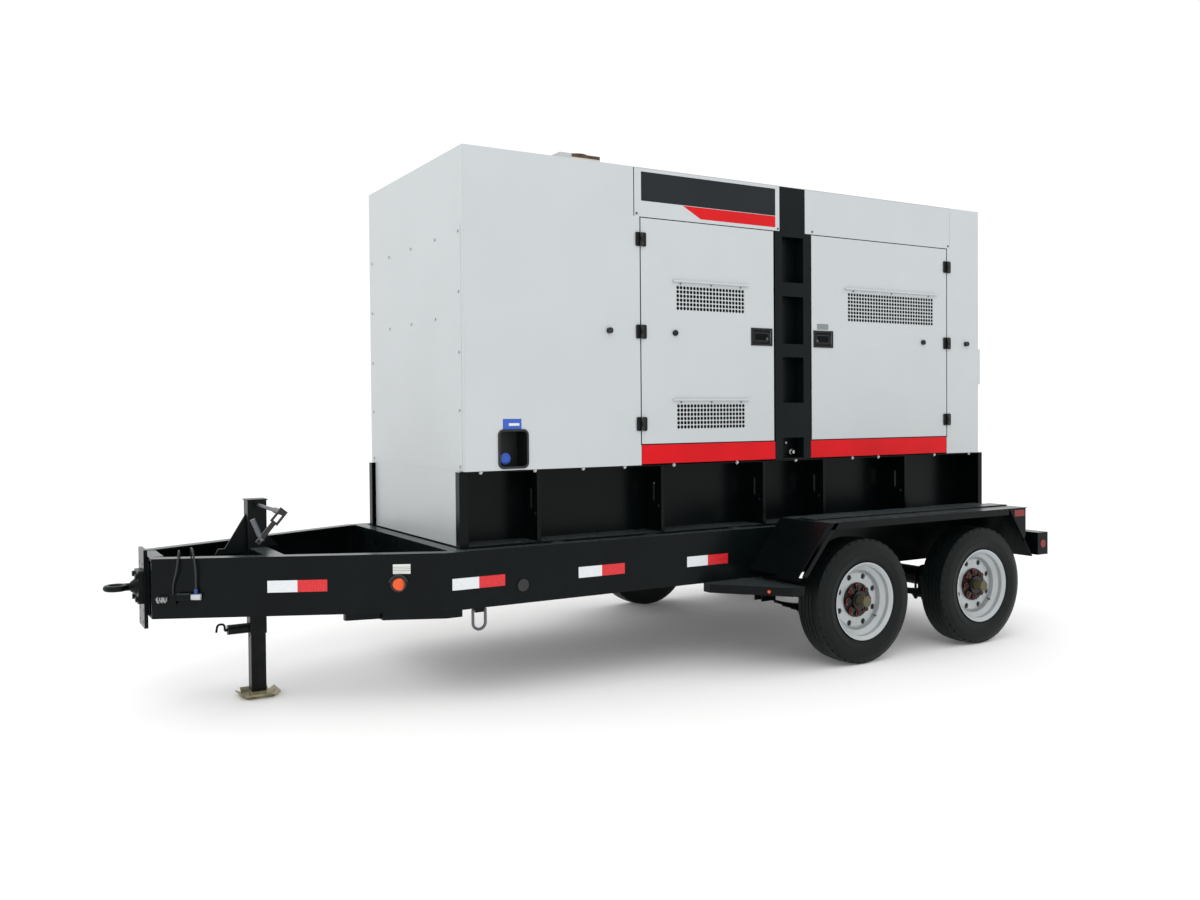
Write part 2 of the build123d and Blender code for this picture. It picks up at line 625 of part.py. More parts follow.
def axle(x):
    """Tube axle with its spindles, and the springs clamped below it."""
    tube = bar_y(AXLE_TUBE_R, x, TYRE_R, -AXLE_HALF, AXLE_HALF)
    for side in (LEFT, RIGHT):
        tube += bar_y(SPINDLE_R, x, TYRE_R, side * (AXLE_HALF - 5), side * (DISC_Y + 18))
    pieces = [tube]
    for side in (LEFT, RIGHT):
        y0, y1 = side * (SPRING_Y - 25), side * (SPRING_Y + 25)
        seat = block(x - 60, x + 60, y0, y1, spring_seat(), TYRE_R - 20)
        pieces.append(seat - bar_y(AXLE_TUBE_R, x, TYRE_R, -AXLE_HALF, AXLE_HALF))
        pieces += leaf_spring(x, side)
        low = spring_seat() - 10.3 * 3 - 10.3
        clamp = side_block(side, x - 90, x + 90, SPRING_Y - 48, SPRING_Y + 48, low - 14, low)
        bolts = u_bolts(x, side, low)
        for bolt in bolts:
            clamp -= bolt
        pieces += [clamp, *bolts]
    return group(*pieces)


def hanger(x, side, z_low):
    """Two cheek plates welded under a main beam, joined by a pad."""
    inner, outer = SPRING_Y - HANGER_GAP, SPRING_Y + HANGER_GAP
    z = BEAM_BOTTOM
    cheeks = [side_block(side, x - 55, x + 55, inner - HANGER_PLATE, inner, z_low, z),
              side_block(side, x - 55, x + 55, outer, outer + HANGER_PLATE, z_low, z)]
    pad = side_block(side, x - 55, x + 55, inner, outer, z - 26, z)
    return [cheeks[0] + cheeks[1] + pad]


def cross_bolt(x, side, z, radius):
    """Bolt through both cheeks of a hanger, with its head and nut."""
    inner = SPRING_Y - HANGER_GAP - HANGER_PLATE
    outer = SPRING_Y + HANGER_GAP + HANGER_PLATE
    bolt = bar_y(radius, x, z, side * (inner - 14), side * (outer + 14))
    bolt += bar_y(radius + 8, x, z, side * (inner - 14), side * inner)
    bolt += bar_y(radius + 8, x, z, side * outer, side * (outer + 14))
    return bolt


def spring_hangers():
    """Hangers under both beams with their bolts."""
    pieces = []
    middle = sum(AXLE_X) / 2
    eyes = (AXLE_X[0] - SPRING_HALF, AXLE_X[1] + SPRING_HALF)
    for side in (LEFT, RIGHT):
        spots = [(x, SPRING_EYE_Z, SPRING_BOLT_R) for x in eyes] + [(middle, EQUALIZER_Z, 14.0)]
        for x, z, radius in spots:
            bolt = cross_bolt(x, side, z, radius)
            cheeks = hanger(x, side, z - 35)[0]
            pieces.append(cheeks - bolt)
            pieces.append(bolt)
    return group(*pieces)


def equalizers():
    """Rocker on each side that shares the load between the two axles, with a round pad on each arm."""
    middle = sum(AXLE_X) / 2
    rockers = []
    pad_z = slipper_height() + SLIPPER_GAP + 16
    for side in (LEFT, RIGHT):
        y0, y1 = side * (SPRING_Y - 25), side * (SPRING_Y + 25)
        z, arm = EQUALIZER_Z, EQUALIZER_ARM
        outline = [(middle - arm - 15, pad_z + 5), (middle - 28, z + 24), (middle + 28, z + 24),
                   (middle + arm + 15, pad_z + 5), (middle + arm + 4, pad_z - 15), (middle + 20, z - 26),
                   (middle - 20, z - 26), (middle - arm - 4, pad_z - 15)]
        beam = prism_y(outline, y0, y1)
        for end in (-1, 1):
            beam += bar_y(16, middle + end * arm, pad_z, y0, y1)
        rockers.append(beam - bar_y(14.05, middle, z, -BEAM_HALF, BEAM_HALF))
    return group(*rockers)


def d_ring_place(side):
    """Place of the ring's straight side under the front end of a main beam."""
    return Pos(DRING_X, side * (BEAM_HALF - 38), BEAM_BOTTOM - 16)


def d_ring(side):
    """Long tie-down ring hanging in its strap."""
    bend = Pos(0, 0, -DRING_LEG) * Rot(90, 0, 0) * Torus(DRING_R, DRING_ROD_R)
    loop = bend & block(-100, 100, -100, 100, -DRING_LEG - 100, -DRING_LEG)
    loop += bar_x(DRING_ROD_R, 0, 0, -DRING_R, DRING_R)
    for end in (-DRING_R, DRING_R):
        loop += bar_z(DRING_ROD_R, end, 0, -DRING_LEG, 0) + Pos(end, 0, 0) * Sphere(DRING_ROD_R)
    return d_ring_place(side) * loop


def d_ring_clip(side):
    """Strap round the straight side of the ring, welded under the beam."""
    strap = Rot(0, 90, 0) * Cylinder(14, 46) + block(-23, 23, -14, 14, 0, 16)
    return d_ring_place(side) * (strap - bar_x(DRING_ROD_R + 0.05, 0, 0, -30, 30))


# ---- fenders, step and rear bumper -------------------------------------------------------------------
def slant(top_x, foot_x, foot_z, width, side, y_in, y_out):
    """Sloping sheet between the fender's top and its foot, as wide along X as asked."""
    grow = width if foot_x > top_x else -width
    points = [(top_x, FENDER_Z), (foot_x, foot_z), (foot_x - grow, foot_z), (top_x - grow, FENDER_Z)]
    return prism_y(points, side * y_in, side * y_out)


def fender(side):
    """Flat-topped fender of folded sheet over both wheels of one side."""
    inner, outer, sheet = BEAM_HALF, FENDER_HALF, FENDER_SHEET
    x0, x1 = FENDER_TOP_X
    top = side_block(side, x0, FENDER_REAR_X, inner, outer, FENDER_Z - sheet, FENDER_Z)
    tread = side_block(side, x0 + 20, FENDER_REAR_X - 10, 995, 1135, FENDER_Z, FENDER_Z + 8)
    lip = side_block(side, x0 + 8, x1 - 8, outer - sheet, outer, FENDER_Z - FENDER_LIP, FENDER_Z - sheet)
    front = slant(x0, FENDER_FOOT_X[0], FENDER_FOOT_Z[0], 5, side, inner, outer)
    front_lip = slant(x0 + 40, FENDER_FOOT_X[0] + 40, FENDER_FOOT_Z[0], 35, side, outer - sheet, outer)
    front_lip -= side_block(side, x0 - 300, x1, outer - 50, outer + 50, FENDER_Z - sheet, FENDER_Z + 50)
    rear = slant(x1, FENDER_FOOT_X[1], FENDER_FOOT_Z[1], 5, side, inner, outer)
    rear -= side_block(side, x1 - 300, x1 + 300, inner - 1, outer + 1, FENDER_Z - sheet, FENDER_Z + 1)
    front -= side_block(side, x0 - 300, x0 + 300, inner - 1, outer + 1, FENDER_Z - sheet, FENDER_Z + 1)
    cheek = prism_y([(x1 + 1, FENDER_Z - sheet), (FENDER_REAR_X, FENDER_Z - sheet),
                     (FENDER_REAR_X, FENDER_Z - 185), (FENDER_REAR_X - 30, FENDER_Z - 255)],
                    side * (outer - 16), side * (outer - 12))
    skirt = side_block(side, x0 + 90, x1 - 60, inner, inner + sheet, BEAM_TOP - 60, FENDER_Z - sheet)
    return [top, tread, lip, front, front_lip, rear, cheek, skirt]


def fenders():
    return group(*fender(LEFT), *fender(RIGHT))


def side_step(side):
    """Wedge-shaped step plate ahead of the front wheel."""
    outline = [(STEP_TIP_X, side * BEAM_HALF), (STEP_TIP_X, side * (BEAM_HALF + STEP_NOSE)),
               (STEP_OUT_X, side * FENDER_HALF), (STEP_END_X, side * FENDER_HALF),
               (STEP_END_X, side * BEAM_HALF)]
    inner = [(STEP_TIP_X + 12, side * (BEAM_HALF - 1)), (STEP_TIP_X + 12, side * (BEAM_HALF + STEP_NOSE - 9)),
             (STEP_OUT_X + 4, side * (FENDER_HALF - 6)), (STEP_END_X - 6, side * (FENDER_HALF - 6)),
             (STEP_END_X - 6, side * (BEAM_HALF - 1))]
    deck = prism_z(outline, STEP_TOP - STEP_DEPTH, STEP_TOP)
    return deck - prism_z(inner, STEP_TOP - STEP_DEPTH - 1, STEP_TOP - 5)


def rear_bumper():
    """Box beam across the back that carries the tail lamps."""
    z0, z1 = BUMPER_Z
    wall = BUMPER_WALL
    beam = block(FRAME_REAR, FRAME_REAR + BUMPER_DEPTH, -FENDER_HALF, FENDER_HALF, z0, z1)
    room = block(FRAME_REAR + wall, FRAME_REAR + BUMPER_DEPTH - wall, -FENDER_HALF + wall,
                 FENDER_HALF - wall, z0 - 1, z1 - wall)
    return beam - room


def marker_spots():
    """Places of the round marker lamps on one side, as X, distance out and Z."""
    angle_y = tongue_y(-375, 0)
    return [(-375.0, angle_y, 668.0), (FRAME_REAR + BUMPER_DEPTH / 2, FENDER_HALF, 622.0)]


def lamp_lenses():
    lenses = []
    rear = FRAME_REAR + BUMPER_DEPTH
    for side in (LEFT, RIGHT):
        for index, (x, y, z) in enumerate(marker_spots()):
            radius = MARKER_R if index == 0 else MARKER_R - 4
            lens = Pos(x, side * y, z) * Rot(90, 0, 0) * Cylinder(radius, 2 * MARKER_PROUD)
            keep = prism_z(outside_of_tongue(side), 0, 1000) if index == 0 else \
                side_block(side, x - 80, x + 80, FENDER_HALF, FENDER_HALF + 3, 500, 800)
            lenses.append(lens & keep)
        for y in (FENDER_HALF - 75, FENDER_HALF - 200):
            lenses.append(bar_x(TAIL_LAMP_R, side * y, sum(BUMPER_Z) / 2, rear, rear + TAIL_LAMP_PROUD))
        run, rise = STEP_OUT_X - STEP_TIP_X, FENDER_HALF - BEAM_HALF - STEP_NOSE
        reach = sqrt(run * run + rise * rise)
        spot = (STEP_TIP_X + 0.72 * run - 4 * rise / reach, BEAM_HALF + STEP_NOSE + 0.72 * rise + 4 * run / reach)
        dot = Rot(0, 0, side * degrees(atan2(rise, run))) * Rot(90, 0, 0) * Cylinder(9, 8)
        lenses.append(Pos(spot[0], side * spot[1], STEP_TOP - 28) * dot)
        lenses.append(side_block(side, FENDER_REAR_X - 118, FENDER_REAR_X - 16, FENDER_HALF - 12,
                                 FENDER_HALF - 9, FENDER_Z - 58, FENDER_Z - 14))
    return group(*lenses)


def outside_of_tongue(side):
    """Plan strip just outside the tongue beam's face."""
    pts = [(x, side * tongue_y(x, offset)) for x, offset in
           ((-1000, 0), (-200, 0), (-200, -12), (-1000, -12))]
    return pts


def reflective_tape():
    """White and red strips along the beams, each pair as two thin plates."""
    strips = []
    for side in (LEFT, RIGHT):
        for x in (-120.0, 638.0, 1380.0):
            for half in (0, 1):
                x0 = x + half * 152
                strips.append(side_block(side, x0, x0 + 152, BEAM_HALF, BEAM_HALF + 0.8, 625, 686))
        for half in (0, 1):
            x0 = -975 + half * 136
            pts = [(x0, side * tongue_y(x0, 0)), (x0 + 136, side * tongue_y(x0 + 136, 0)),
                   (x0 + 136, side * tongue_y(x0 + 136, -0.8)), (x0, side * tongue_y(x0, -0.8))]
            strips.append(prism_z(pts, 640, 701))
    return group(*strips)


# ---- skid base ---------------------------------------------------------------------------------------
def rib(x, side):
    """Upright plate from the tank's side to the edge of the base, slotted and flanged."""
    z0, z1 = BEAM_TOP + BASE_PLATE, ENC_FLOOR - 3 - BASE_PLATE
    plate = side_block(side, x - BASE_PLATE, x, TANK_HALF, BASE_HALF, z0, z1)
    middle = (TANK_HALF + BASE_HALF) / 2
    slot = side_block(side, x - 20, x + 20, middle - RIB_SLOT[0] / 2, middle + RIB_SLOT[0] / 2,
                      1010, 1010 + RIB_SLOT[1])
    plate -= slot
    plate -= bar_x(RIB_HOLE_R, side * (middle + 50), 985, x - 20, x + 20)
    return plate + side_block(side, x - RIB_FLANGE, x, BASE_HALF - BASE_PLATE, BASE_HALF, z0, z1)


def base_tank():
    """Fuel tank in the middle of the skid, with ribs and flanges that carry the enclosure."""
    x0, x1 = BASE_X
    z0, z1 = BEAM_TOP, ENC_FLOOR - 3
    plate = BASE_PLATE
    start = 5.0
    pieces = [block(start, x1 - plate, -TANK_HALF, TANK_HALF, z0, z0 + plate),
              block(start, x1 - plate, -TANK_HALF, TANK_HALF, z1 - plate, z1),
              block(start, start + plate, -TANK_HALF + plate, TANK_HALF - plate, z0 + plate, z1 - plate),
              block(x1 - 2 * plate, x1 - plate, -TANK_HALF + plate, TANK_HALF - plate, z0 + plate, z1 - plate),
              block(x1 - plate, x1, -BASE_HALF, BASE_HALF, z0, z1)]
    for side in (LEFT, RIGHT):
        pieces.append(side_block(side, start, x1 - plate, TANK_HALF - plate, TANK_HALF, z0 + plate, z1 - plate))
        pieces.append(side_block(side, start, x1 - plate, TANK_HALF, BASE_HALF, z1 - plate, z1))
        pieces.append(side_block(side, start, x1 - plate, TANK_HALF, BASE_HALF, z0, z0 + plate))
        post = side_block(side, x0, CORNER_POST / 2, BASE_HALF - CORNER_POST, BASE_HALF, z0, z1)
        post -= side_block(side, x0 + plate, CORNER_POST, 0, BASE_HALF - plate, z0 - 1, z1 + 1)
        post -= side_block(side, start, CORNER_POST, 0, BASE_HALF + 1, z0 - 1, z0 + plate)
        post -= side_block(side, start, CORNER_POST, 0, BASE_HALF + 1, z1 - plate, z1 + 1)
        pieces.append(post)
        pieces.append(side_block(side, x1 - 40, x1 - plate, BASE_HALF - plate, BASE_HALF, z0 + plate, z1 - plate))
        pieces += [rib(x, side) for x in RIB_X]
    return group(*pieces)


# ---- enclosure -----------------------------------------------------------------------------------------
def tray(x0, x1, side, z0, z1, out=0.0):
    """Panel with its edges returned inward on all four sides."""
    face = ENC_HALF + out
    shell = side_block(side, x0, x1, face - RETURN_DEPTH, face, z0, z1)
    return shell - side_block(side, x0 + SKIN, x1 - SKIN, face - RETURN_DEPTH - 1, face - SKIN,
                              z0 + SKIN, z1 - SKIN)


def rounded_cut(x0, x1, z0, z1, radius, side, depth):
    """Upright opening with rounded corners through a side panel."""
    box = side_block(side, x0, x1, ENC_HALF - depth, ENC_HALF + 5, z0, z1)
    return fillet(box.edges().filter_by(Axis.Y), radius)


def side_panels():
    """Fixed panels ahead of the front doors and behind the rear doors."""
    panels = []
    top = ENC_TOP - SKIN
    for side in (LEFT, RIGHT):
        front = tray(SKIN, FRONT_DOOR_X[0] - PANEL_GAP, side, ENC_FLOOR, top)
        front -= side_block(side, HEADER_X[0] - 2, FRONT_DOOR_X[0], ENC_HALF - 60, ENC_HALF + 1,
                            HEADER_BOTTOM, top + 1)
        if side == LEFT:
            front -= rounded_cut(*FILL_X, *FILL_Z, FILL_RADIUS, side, RETURN_DEPTH + 5)
        rear = tray(REAR_DOOR_X[1] + PANEL_GAP, ENC_LENGTH - SKIN, side, ENC_FLOOR, top)
        rear -= side_block(side, REAR_DOOR_X[1], REAR_HEADER_X[1] + 2, ENC_HALF - 60, ENC_HALF + 1,
                           HEADER_BOTTOM, top + 1)
        panels += [front, rear]
    return group(*panels)


def header_panels():
    """Raised panels above the doors."""
    top = ENC_TOP - SKIN - 1
    panels = []
    for side in (LEFT, RIGHT):
        for x0, x1 in (HEADER_X, REAR_HEADER_X):
            panels.append(tray(x0, x1 if x0 > HEADER_X[0] else COLUMN_X[0] - 2, side, HEADER_BOTTOM, top))
    return group(*panels)


def sill_panels():
    """Red panels below the doors."""
    panels = []
    for side in (LEFT, RIGHT):
        panels.append(tray(FRONT_DOOR_X[0], COLUMN_X[0] - 3, side, SILL_BOTTOM, SILL_TOP))
        panels.append(tray(COLUMN_X[1] + 3, REAR_DOOR_X[1], side, SILL_BOTTOM, SILL_TOP))
    return group(*panels)


def lift_column(side):
    """Ladder-like lifting column: two stiles, rungs between the windows and a back plate."""
    x0, x1 = COLUMN_X
    inner, outer = ENC_HALF - COLUMN_DEPTH, ENC_HALF
    middle = (x0 + x1) / 2
    w0, w1 = middle - COLUMN_WINDOW_WIDTH / 2, middle + COLUMN_WINDOW_WIDTH / 2
    top = HEADER_BOTTOM - 6
    pieces = [side_block(side, x0, w0, inner, outer, ENC_FLOOR, top),
              side_block(side, w1, x1, inner, outer, ENC_FLOOR, top)]
    hollow = [side_block(side, x0 + 4, w0 - 4, inner - 1, outer - 4, ENC_FLOOR - 1, top - 4),
              side_block(side, w1 + 4, x1 - 4, inner - 1, outer - 4, ENC_FLOOR - 1, top - 4)]
    pieces = [pieces[0] - hollow[0], pieces[1] - hollow[1]]
    levels = [ENC_FLOOR] + [z for window in COLUMN_WINDOWS for z in window] + [top]
    for z0, z1 in zip(levels[0::2], levels[1::2]):
        pieces.append(side_block(side, w0, w1, inner, outer, z0, z1))
    pieces.append(side_block(side, w0, w1, inner - 4, inner, ENC_FLOOR, top))
    head = side_block(side, x0 + 1, REAR_HEADER_X[0] - 2, outer - 60, outer - 2, top + 1, ENC_TOP - SKIN - 1)
    head -= side_block(side, x0 + 5, REAR_HEADER_X[0] - 6, outer - 61, outer - 6, top + 5, ENC_TOP - SKIN - 5)
    pieces.append(head)
    return pieces


def lift_columns():
    return group(*lift_column(LEFT), *lift_column(RIGHT))


def front_panel():
    """Front wall, which runs down between the base's corner posts, and its bolted cover."""
    inner = ENC_HALF - SKIN
    low = BASE_HALF - CORNER_POST - 1
    wall = block(0, SKIN, -inner - SKIN, inner + SKIN, ENC_FLOOR, ENC_TOP - SKIN)
    wall += block(0, SKIN, -low, low, BEAM_TOP + 1, ENC_FLOOR)
    cover = block(-2, 0, -inner + 26, inner - 26, ENC_FLOOR + 4, 2560)
    return group(wall, cover)


def roof_panel():
    """Roof sheet with the radiator's discharge opening, its grille bars and the outlet box."""
    vent_x0, vent_x1 = ROOF_VENT_X
    z0, z1 = ENC_TOP - SKIN, ENC_TOP
    sheets = [block(0, vent_x0, -ENC_HALF, ENC_HALF, z0, z1),
              block(vent_x0, vent_x1, -ENC_HALF, -ROOF_VENT_HALF, z0, z1),
              block(vent_x0, vent_x1, ROOF_VENT_HALF, ENC_HALF, z0, z1)]
    roof = block(vent_x1, ENC_LENGTH, -ENC_HALF, ENC_HALF, z0, z1)
    box_x0, box_x1, box_y0, box_y1 = OUTLET_BOX
    collar = block(box_x0, box_x1, box_y0, box_y1, ENC_TOP, ENC_TOP + OUTLET_RISE)
    collar -= block(box_x0 + 3, box_x1 - 3, box_y0 + 3, box_y1 - 3, ENC_TOP - 1, ENC_TOP + OUTLET_RISE - 3)
    outlet = bar_z(OUTLET_R + 0.5, OUTLET_X, OUTLET_Y, ENC_TOP - 10, ENC_TOP + OUTLET_RISE + 10)
    pieces = [*sheets, roof - outlet, collar - outlet]
    bars = 7
    for index in range(bars):
        x = vent_x0 + (index + 1) * (vent_x1 - vent_x0) / (bars + 1)
        pieces.append(block(x - 4, x + 4, -ROOF_VENT_HALF, ROOF_VENT_HALF, ENC_TOP - 28, ENC_TOP))
    return group(*pieces)


def rear_wall():
    """Back wall around the control door, with the small hood beside it."""
    inner = ENC_HALF
    x0, x1 = ENC_LENGTH - SKIN, ENC_LENGTH
    z0, z1 = REAR_DOOR_Z
    wall = [block(x0, x1, -inner, inner, ENC_FLOOR, z0), block(x0, x1, -inner, inner, z1, ENC_TOP - SKIN),
            block(x0, x1, -inner, -REAR_DOOR_HALF, z0, z1), block(x0, x1, REAR_DOOR_HALF, inner, z0, z1)]
    hood = block(x1, x1 + 50, -730, -560, 1730, 1985)
    hood -= block(x1 - 1, x1 + 47, -727, -563, 1729, 1982)
    return group(*wall, hood)


def door(side, x_range, vents, hinge_at_front):
    """Side door: a tray with perforated vents, drip hoods, latch case, hinge leaves and stop knob."""
    x0, x1 = x_range
    leaf = tray(x0, x1, side, DOOR_BOTTOM, DOOR_TOP)
    extras = []
    face = ENC_HALF
    for v0, v1, z0, z1 in vents:
        leaf -= side_block(side, v0, v1, face - 10, face + 1, z0, z1)
        extras.append(side_block(side, v0 - 12, v1 + 12, face - SKIN - 2, face - SKIN, z0 - 12, z1 + 12))
        hood = prism_y([(v0 - 28, z1 + VENT_HOOD_RISE), (v1 + 30, z1 + VENT_HOOD_RISE),
                        (v1 + 30, z1 + VENT_HOOD_RISE + 10), (v0 - 28, z1 + VENT_HOOD_RISE + 10)],
                       side * face, side * (face + 16))
        extras.append(hood)
    leaf -= latch_pocket(side, x_range, hinge_at_front)
    extras.append(latch_case(side, x_range, hinge_at_front))
    hinge_x = x0 if hinge_at_front else x1
    inward = 1 if hinge_at_front else -1
    for z in HINGE_HEIGHTS:
        extras.append(hinge_leaf(side, hinge_x, inward, z, True))
    knob_x = hinge_x + inward * STOP_KNOB_OFFSET
    extras.append(bar_y(STOP_KNOB_R, knob_x, LATCH_Z + 4, side * face, side * (face + 14)))
    return group(leaf, *extras)


def latch_centre(x_range, hinge_at_front):
    x0, x1 = x_range
    margin = LATCH_MARGIN + LATCH_SIZE[0] / 2
    return x1 - margin if hinge_at_front else x0 + margin


def latch_pocket(side, x_range, hinge_at_front):
    x = latch_centre(x_range, hinge_at_front)
    w, h = LATCH_SIZE[0] / 2 - 8, LATCH_SIZE[1] / 2 - 8
    return side_block(side, x - w, x + w, ENC_HALF - 10, ENC_HALF + 1, LATCH_Z - h, LATCH_Z + h)


def latch_case(side, x_range, hinge_at_front):
    """Black frame and cup of the paddle latch."""
    x = latch_centre(x_range, hinge_at_front)
    w, h = LATCH_SIZE[0] / 2, LATCH_SIZE[1] / 2
    rim_plate = side_block(side, x - w, x + w, ENC_HALF, ENC_HALF + 5, LATCH_Z - h, LATCH_Z + h)
    cup = side_block(side, x - w + 9, x + w - 9, ENC_HALF - 34, ENC_HALF, LATCH_Z - h + 9, LATCH_Z + h - 9)
    room = side_block(side, x - w + 13, x + w - 13, ENC_HALF - 30, ENC_HALF + 6, LATCH_Z - h + 13,
                      LATCH_Z + h - 13)
    return rim_plate + cup - room


def latch_paddle(side, x_range, hinge_at_front):
    """Paddle in the cup, hinged along its top edge."""
    x = latch_centre(x_range, hinge_at_front)
    w, h = LATCH_SIZE[0] / 2 - 17, LATCH_SIZE[1] / 2 - 17
    plate = side_block(side, x - w, x + w, ENC_HALF - 8, ENC_HALF - 2, LATCH_Z - h, LATCH_Z + h)
    roll = bar_y(1, 0, 0, 0, 1)
    roll = bar_x(4, side * (ENC_HALF - 5), LATCH_Z + h - 4, x - w, x + w)
    return plate + roll


def hinge_leaf(side, hinge_x, inward, z, on_door):
    """Half of a black hinge: the door's leaf holds the barrel's middle, the fixed one its ends."""
    pin_x = hinge_x - inward * PANEL_GAP / 2
    face = ENC_HALF
    half = HINGE_LENGTH / 2
    if on_door:
        plate = side_block(side, pin_x + inward * 2, pin_x + inward * (HINGE_LEAF + 2), face,
                           face + HINGE_LEAF_T, z - half, z + half)
        arm = side_block(side, pin_x, pin_x + inward * 12, face + 1, face + HINGE_OUT + 4, z - 14, z + 14)
        barrel = bar_z(HINGE_PIN_R + 4, pin_x, side * (face + HINGE_OUT), z - 14, z + 14)
        hole = bar_z(HINGE_PIN_R + 0.05, pin_x, side * (face + HINGE_OUT), z - 15, z + 15)
        return plate + arm + barrel - hole
    plate = side_block(side, pin_x - inward * 2, pin_x - inward * (HINGE_LEAF + 2), face,
                       face + HINGE_LEAF_T, z - half, z + half)
    for z0, z1 in ((z - half, z - 14.5), (z + 14.5, z + half)):
        plate += side_block(side, pin_x, pin_x - inward * 12, face + 1, face + HINGE_OUT + 4, z0, z1)
        plate += bar_z(HINGE_PIN_R + 4, pin_x, side * (face + HINGE_OUT), z0, z1)
    plate += bar_z(HINGE_PIN_R, pin_x, side * (face + HINGE_OUT), z - half, z + half)
    return plate


def rear_door():
    """Control-side door in the back wall."""
    z0, z1 = REAR_DOOR_Z
    gap = PANEL_GAP
    x1 = ENC_LENGTH
    half = REAR_DOOR_HALF - gap
    leaf = block(x1 - RETURN_DEPTH, x1, -half, half, z0 + gap, z1 - gap)
    leaf -= block(x1 - RETURN_DEPTH - 1, x1 - SKIN, -half + SKIN, half - SKIN, z0 + gap + SKIN, z1 - gap - SKIN)
    pieces = [leaf]
    for z in (z0 + 140, (z0 + z1) / 2, z1 - 140):
        knuckle = bar_z(HINGE_PIN_R + 4, x1 + HINGE_OUT, REAR_DOOR_HALF - gap / 2, z - 14, z + 14)
        knuckle += block(x1, x1 + HINGE_OUT + 4, REAR_DOOR_HALF - gap / 2 - 12, REAR_DOOR_HALF - gap / 2,
                         z - 14, z + 14)
        knuckle += block(x1, x1 + HINGE_LEAF_T, half - HINGE_LEAF, half, z - 38, z + 38)
        knuckle -= bar_z(HINGE_PIN_R + 0.05, x1 + HINGE_OUT, REAR_DOOR_HALF - gap / 2, z - 15, z + 15)
        pieces.append(knuckle)
    pieces.append(block(x1, x1 + 10, -half + 14, -half + 124, 1960, 2068))
    return group(*pieces)


def exhaust_cap():
    """Hinged rain flap over the outlet pipe."""
    z = ENC_TOP + OUTLET_RISE + 8
    disc = bar_z(OUTLET_R + 8, OUTLET_X, OUTLET_Y, z, z + 4)
    rim_ring = bar_z(OUTLET_R + 8, OUTLET_X, OUTLET_Y, z - 6, z + 4)
    rim_ring -= bar_z(OUTLET_R + 5, OUTLET_X, OUTLET_Y, z - 7, z)
    lug = block(OUTLET_X + OUTLET_R, OUTLET_X + OUTLET_R + 26, OUTLET_Y - 12, OUTLET_Y + 12, z, z + 4)
    roll = bar_y(6, OUTLET_X + OUTLET_R + 26, z, OUTLET_Y - 12, OUTLET_Y + 12)
    roll -= bar_y(3.05, OUTLET_X + OUTLET_R + 26, z, OUTLET_Y - 13, OUTLET_Y + 13)
    return disc + rim_ring + lug - bar_y(6, OUTLET_X + OUTLET_R + 26, z, OUTLET_Y - 13, OUTLET_Y + 13) + roll


def fill_cup():
    """Cup behind the fill opening, as five plates, and the filler neck in it."""
    deep, out = ENC_HALF - SKIN - FILL_DEPTH, ENC_HALF - SKIN
    x0, x1 = FILL_X
    z0, z1 = FILL_Z
    plates = [side_block(LEFT, x0 - 4, x1 + 4, deep - 4, deep, z0 - 4, z1 + 4)]
    plates += [side_block(LEFT, x - 4, x, deep, out, z0 - 4, z1 + 4) for x in (x0, x1 + 4)]
    plates += [side_block(LEFT, x0, x1, deep, out, z - 4, z) for z in (z0, z1 + 4)]
    plates.append(bar_y(26, x0 + 46, z0 + 46, -deep, -(ENC_HALF - 45)))
    return plates


def panel_hardware():
    """Fixed hinge halves, stop knobs, filler cup and the bolts of the front cover."""
    pieces = []
    face = ENC_HALF
    for side in (LEFT, RIGHT):
        for hinge_x, inward in ((FRONT_DOOR_X[0], 1), (REAR_DOOR_X[1], -1)):
            for z in HINGE_HEIGHTS:
                pieces.append(hinge_leaf(side, hinge_x, inward, z, False))
        for x in (FRONT_DOOR_X[0] - STOP_KNOB_OFFSET + 18, REAR_DOOR_X[1] + 200):
            pieces.append(bar_y(STOP_KNOB_R, x, LATCH_Z + 4, side * face, side * (face + 22)))
    pieces += fill_cup()
    for y, z in cover_bolts():
        pieces.append(hex_bar_x(13, y, z, -8, -2))
    for z in (REAR_DOOR_Z[0] + 140, sum(REAR_DOOR_Z) / 2, REAR_DOOR_Z[1] - 140):
        y = REAR_DOOR_HALF - PANEL_GAP / 2
        leaf = block(ENC_LENGTH, ENC_LENGTH + HINGE_LEAF_T, REAR_DOOR_HALF, REAR_DOOR_HALF + HINGE_LEAF,
                     z - 38, z + 38)
        for z0, z1 in ((z - 38, z - 14.5), (z + 14.5, z + 38)):
            leaf += block(ENC_LENGTH, ENC_LENGTH + HINGE_OUT + 4, y, y + 12, z0, z1)
            leaf += bar_z(HINGE_PIN_R + 4, ENC_LENGTH + HINGE_OUT, y, z0, z1)
        leaf += bar_z(HINGE_PIN_R, ENC_LENGTH + HINGE_OUT, y, z - 38, z + 38)
        pieces.append(leaf)
    z = ENC_TOP + OUTLET_RISE + 8
    hinge_x = OUTLET_X + OUTLET_R + 26
    for y0, y1 in ((OUTLET_Y - 22, OUTLET_Y - 12.5), (OUTLET_Y + 12.5, OUTLET_Y + 22)):
        pieces.append(block(hinge_x - 7, hinge_x + 7, y0, y1, ENC_TOP + OUTLET_RISE, z + 6))
    pin = bar_y(3, hinge_x, z, OUTLET_Y - 22, OUTLET_Y + 22)
    pieces[-1] = pieces[-2] + pieces[-1] + pin
    del pieces[-2]
    return group(*pieces)


def cover_bolts():
    """Bolts of the front cover: a column down each edge and two rows across."""
    for z in (1262.0, 1564.0, 1877.0, 2202.0, 2524.0):
        for y in (-700.0, 700.0):
            yield y, z
    for z in (2078.0, 2524.0):
        for y in (-375.0, 0.0, 375.0):
            yield y, z


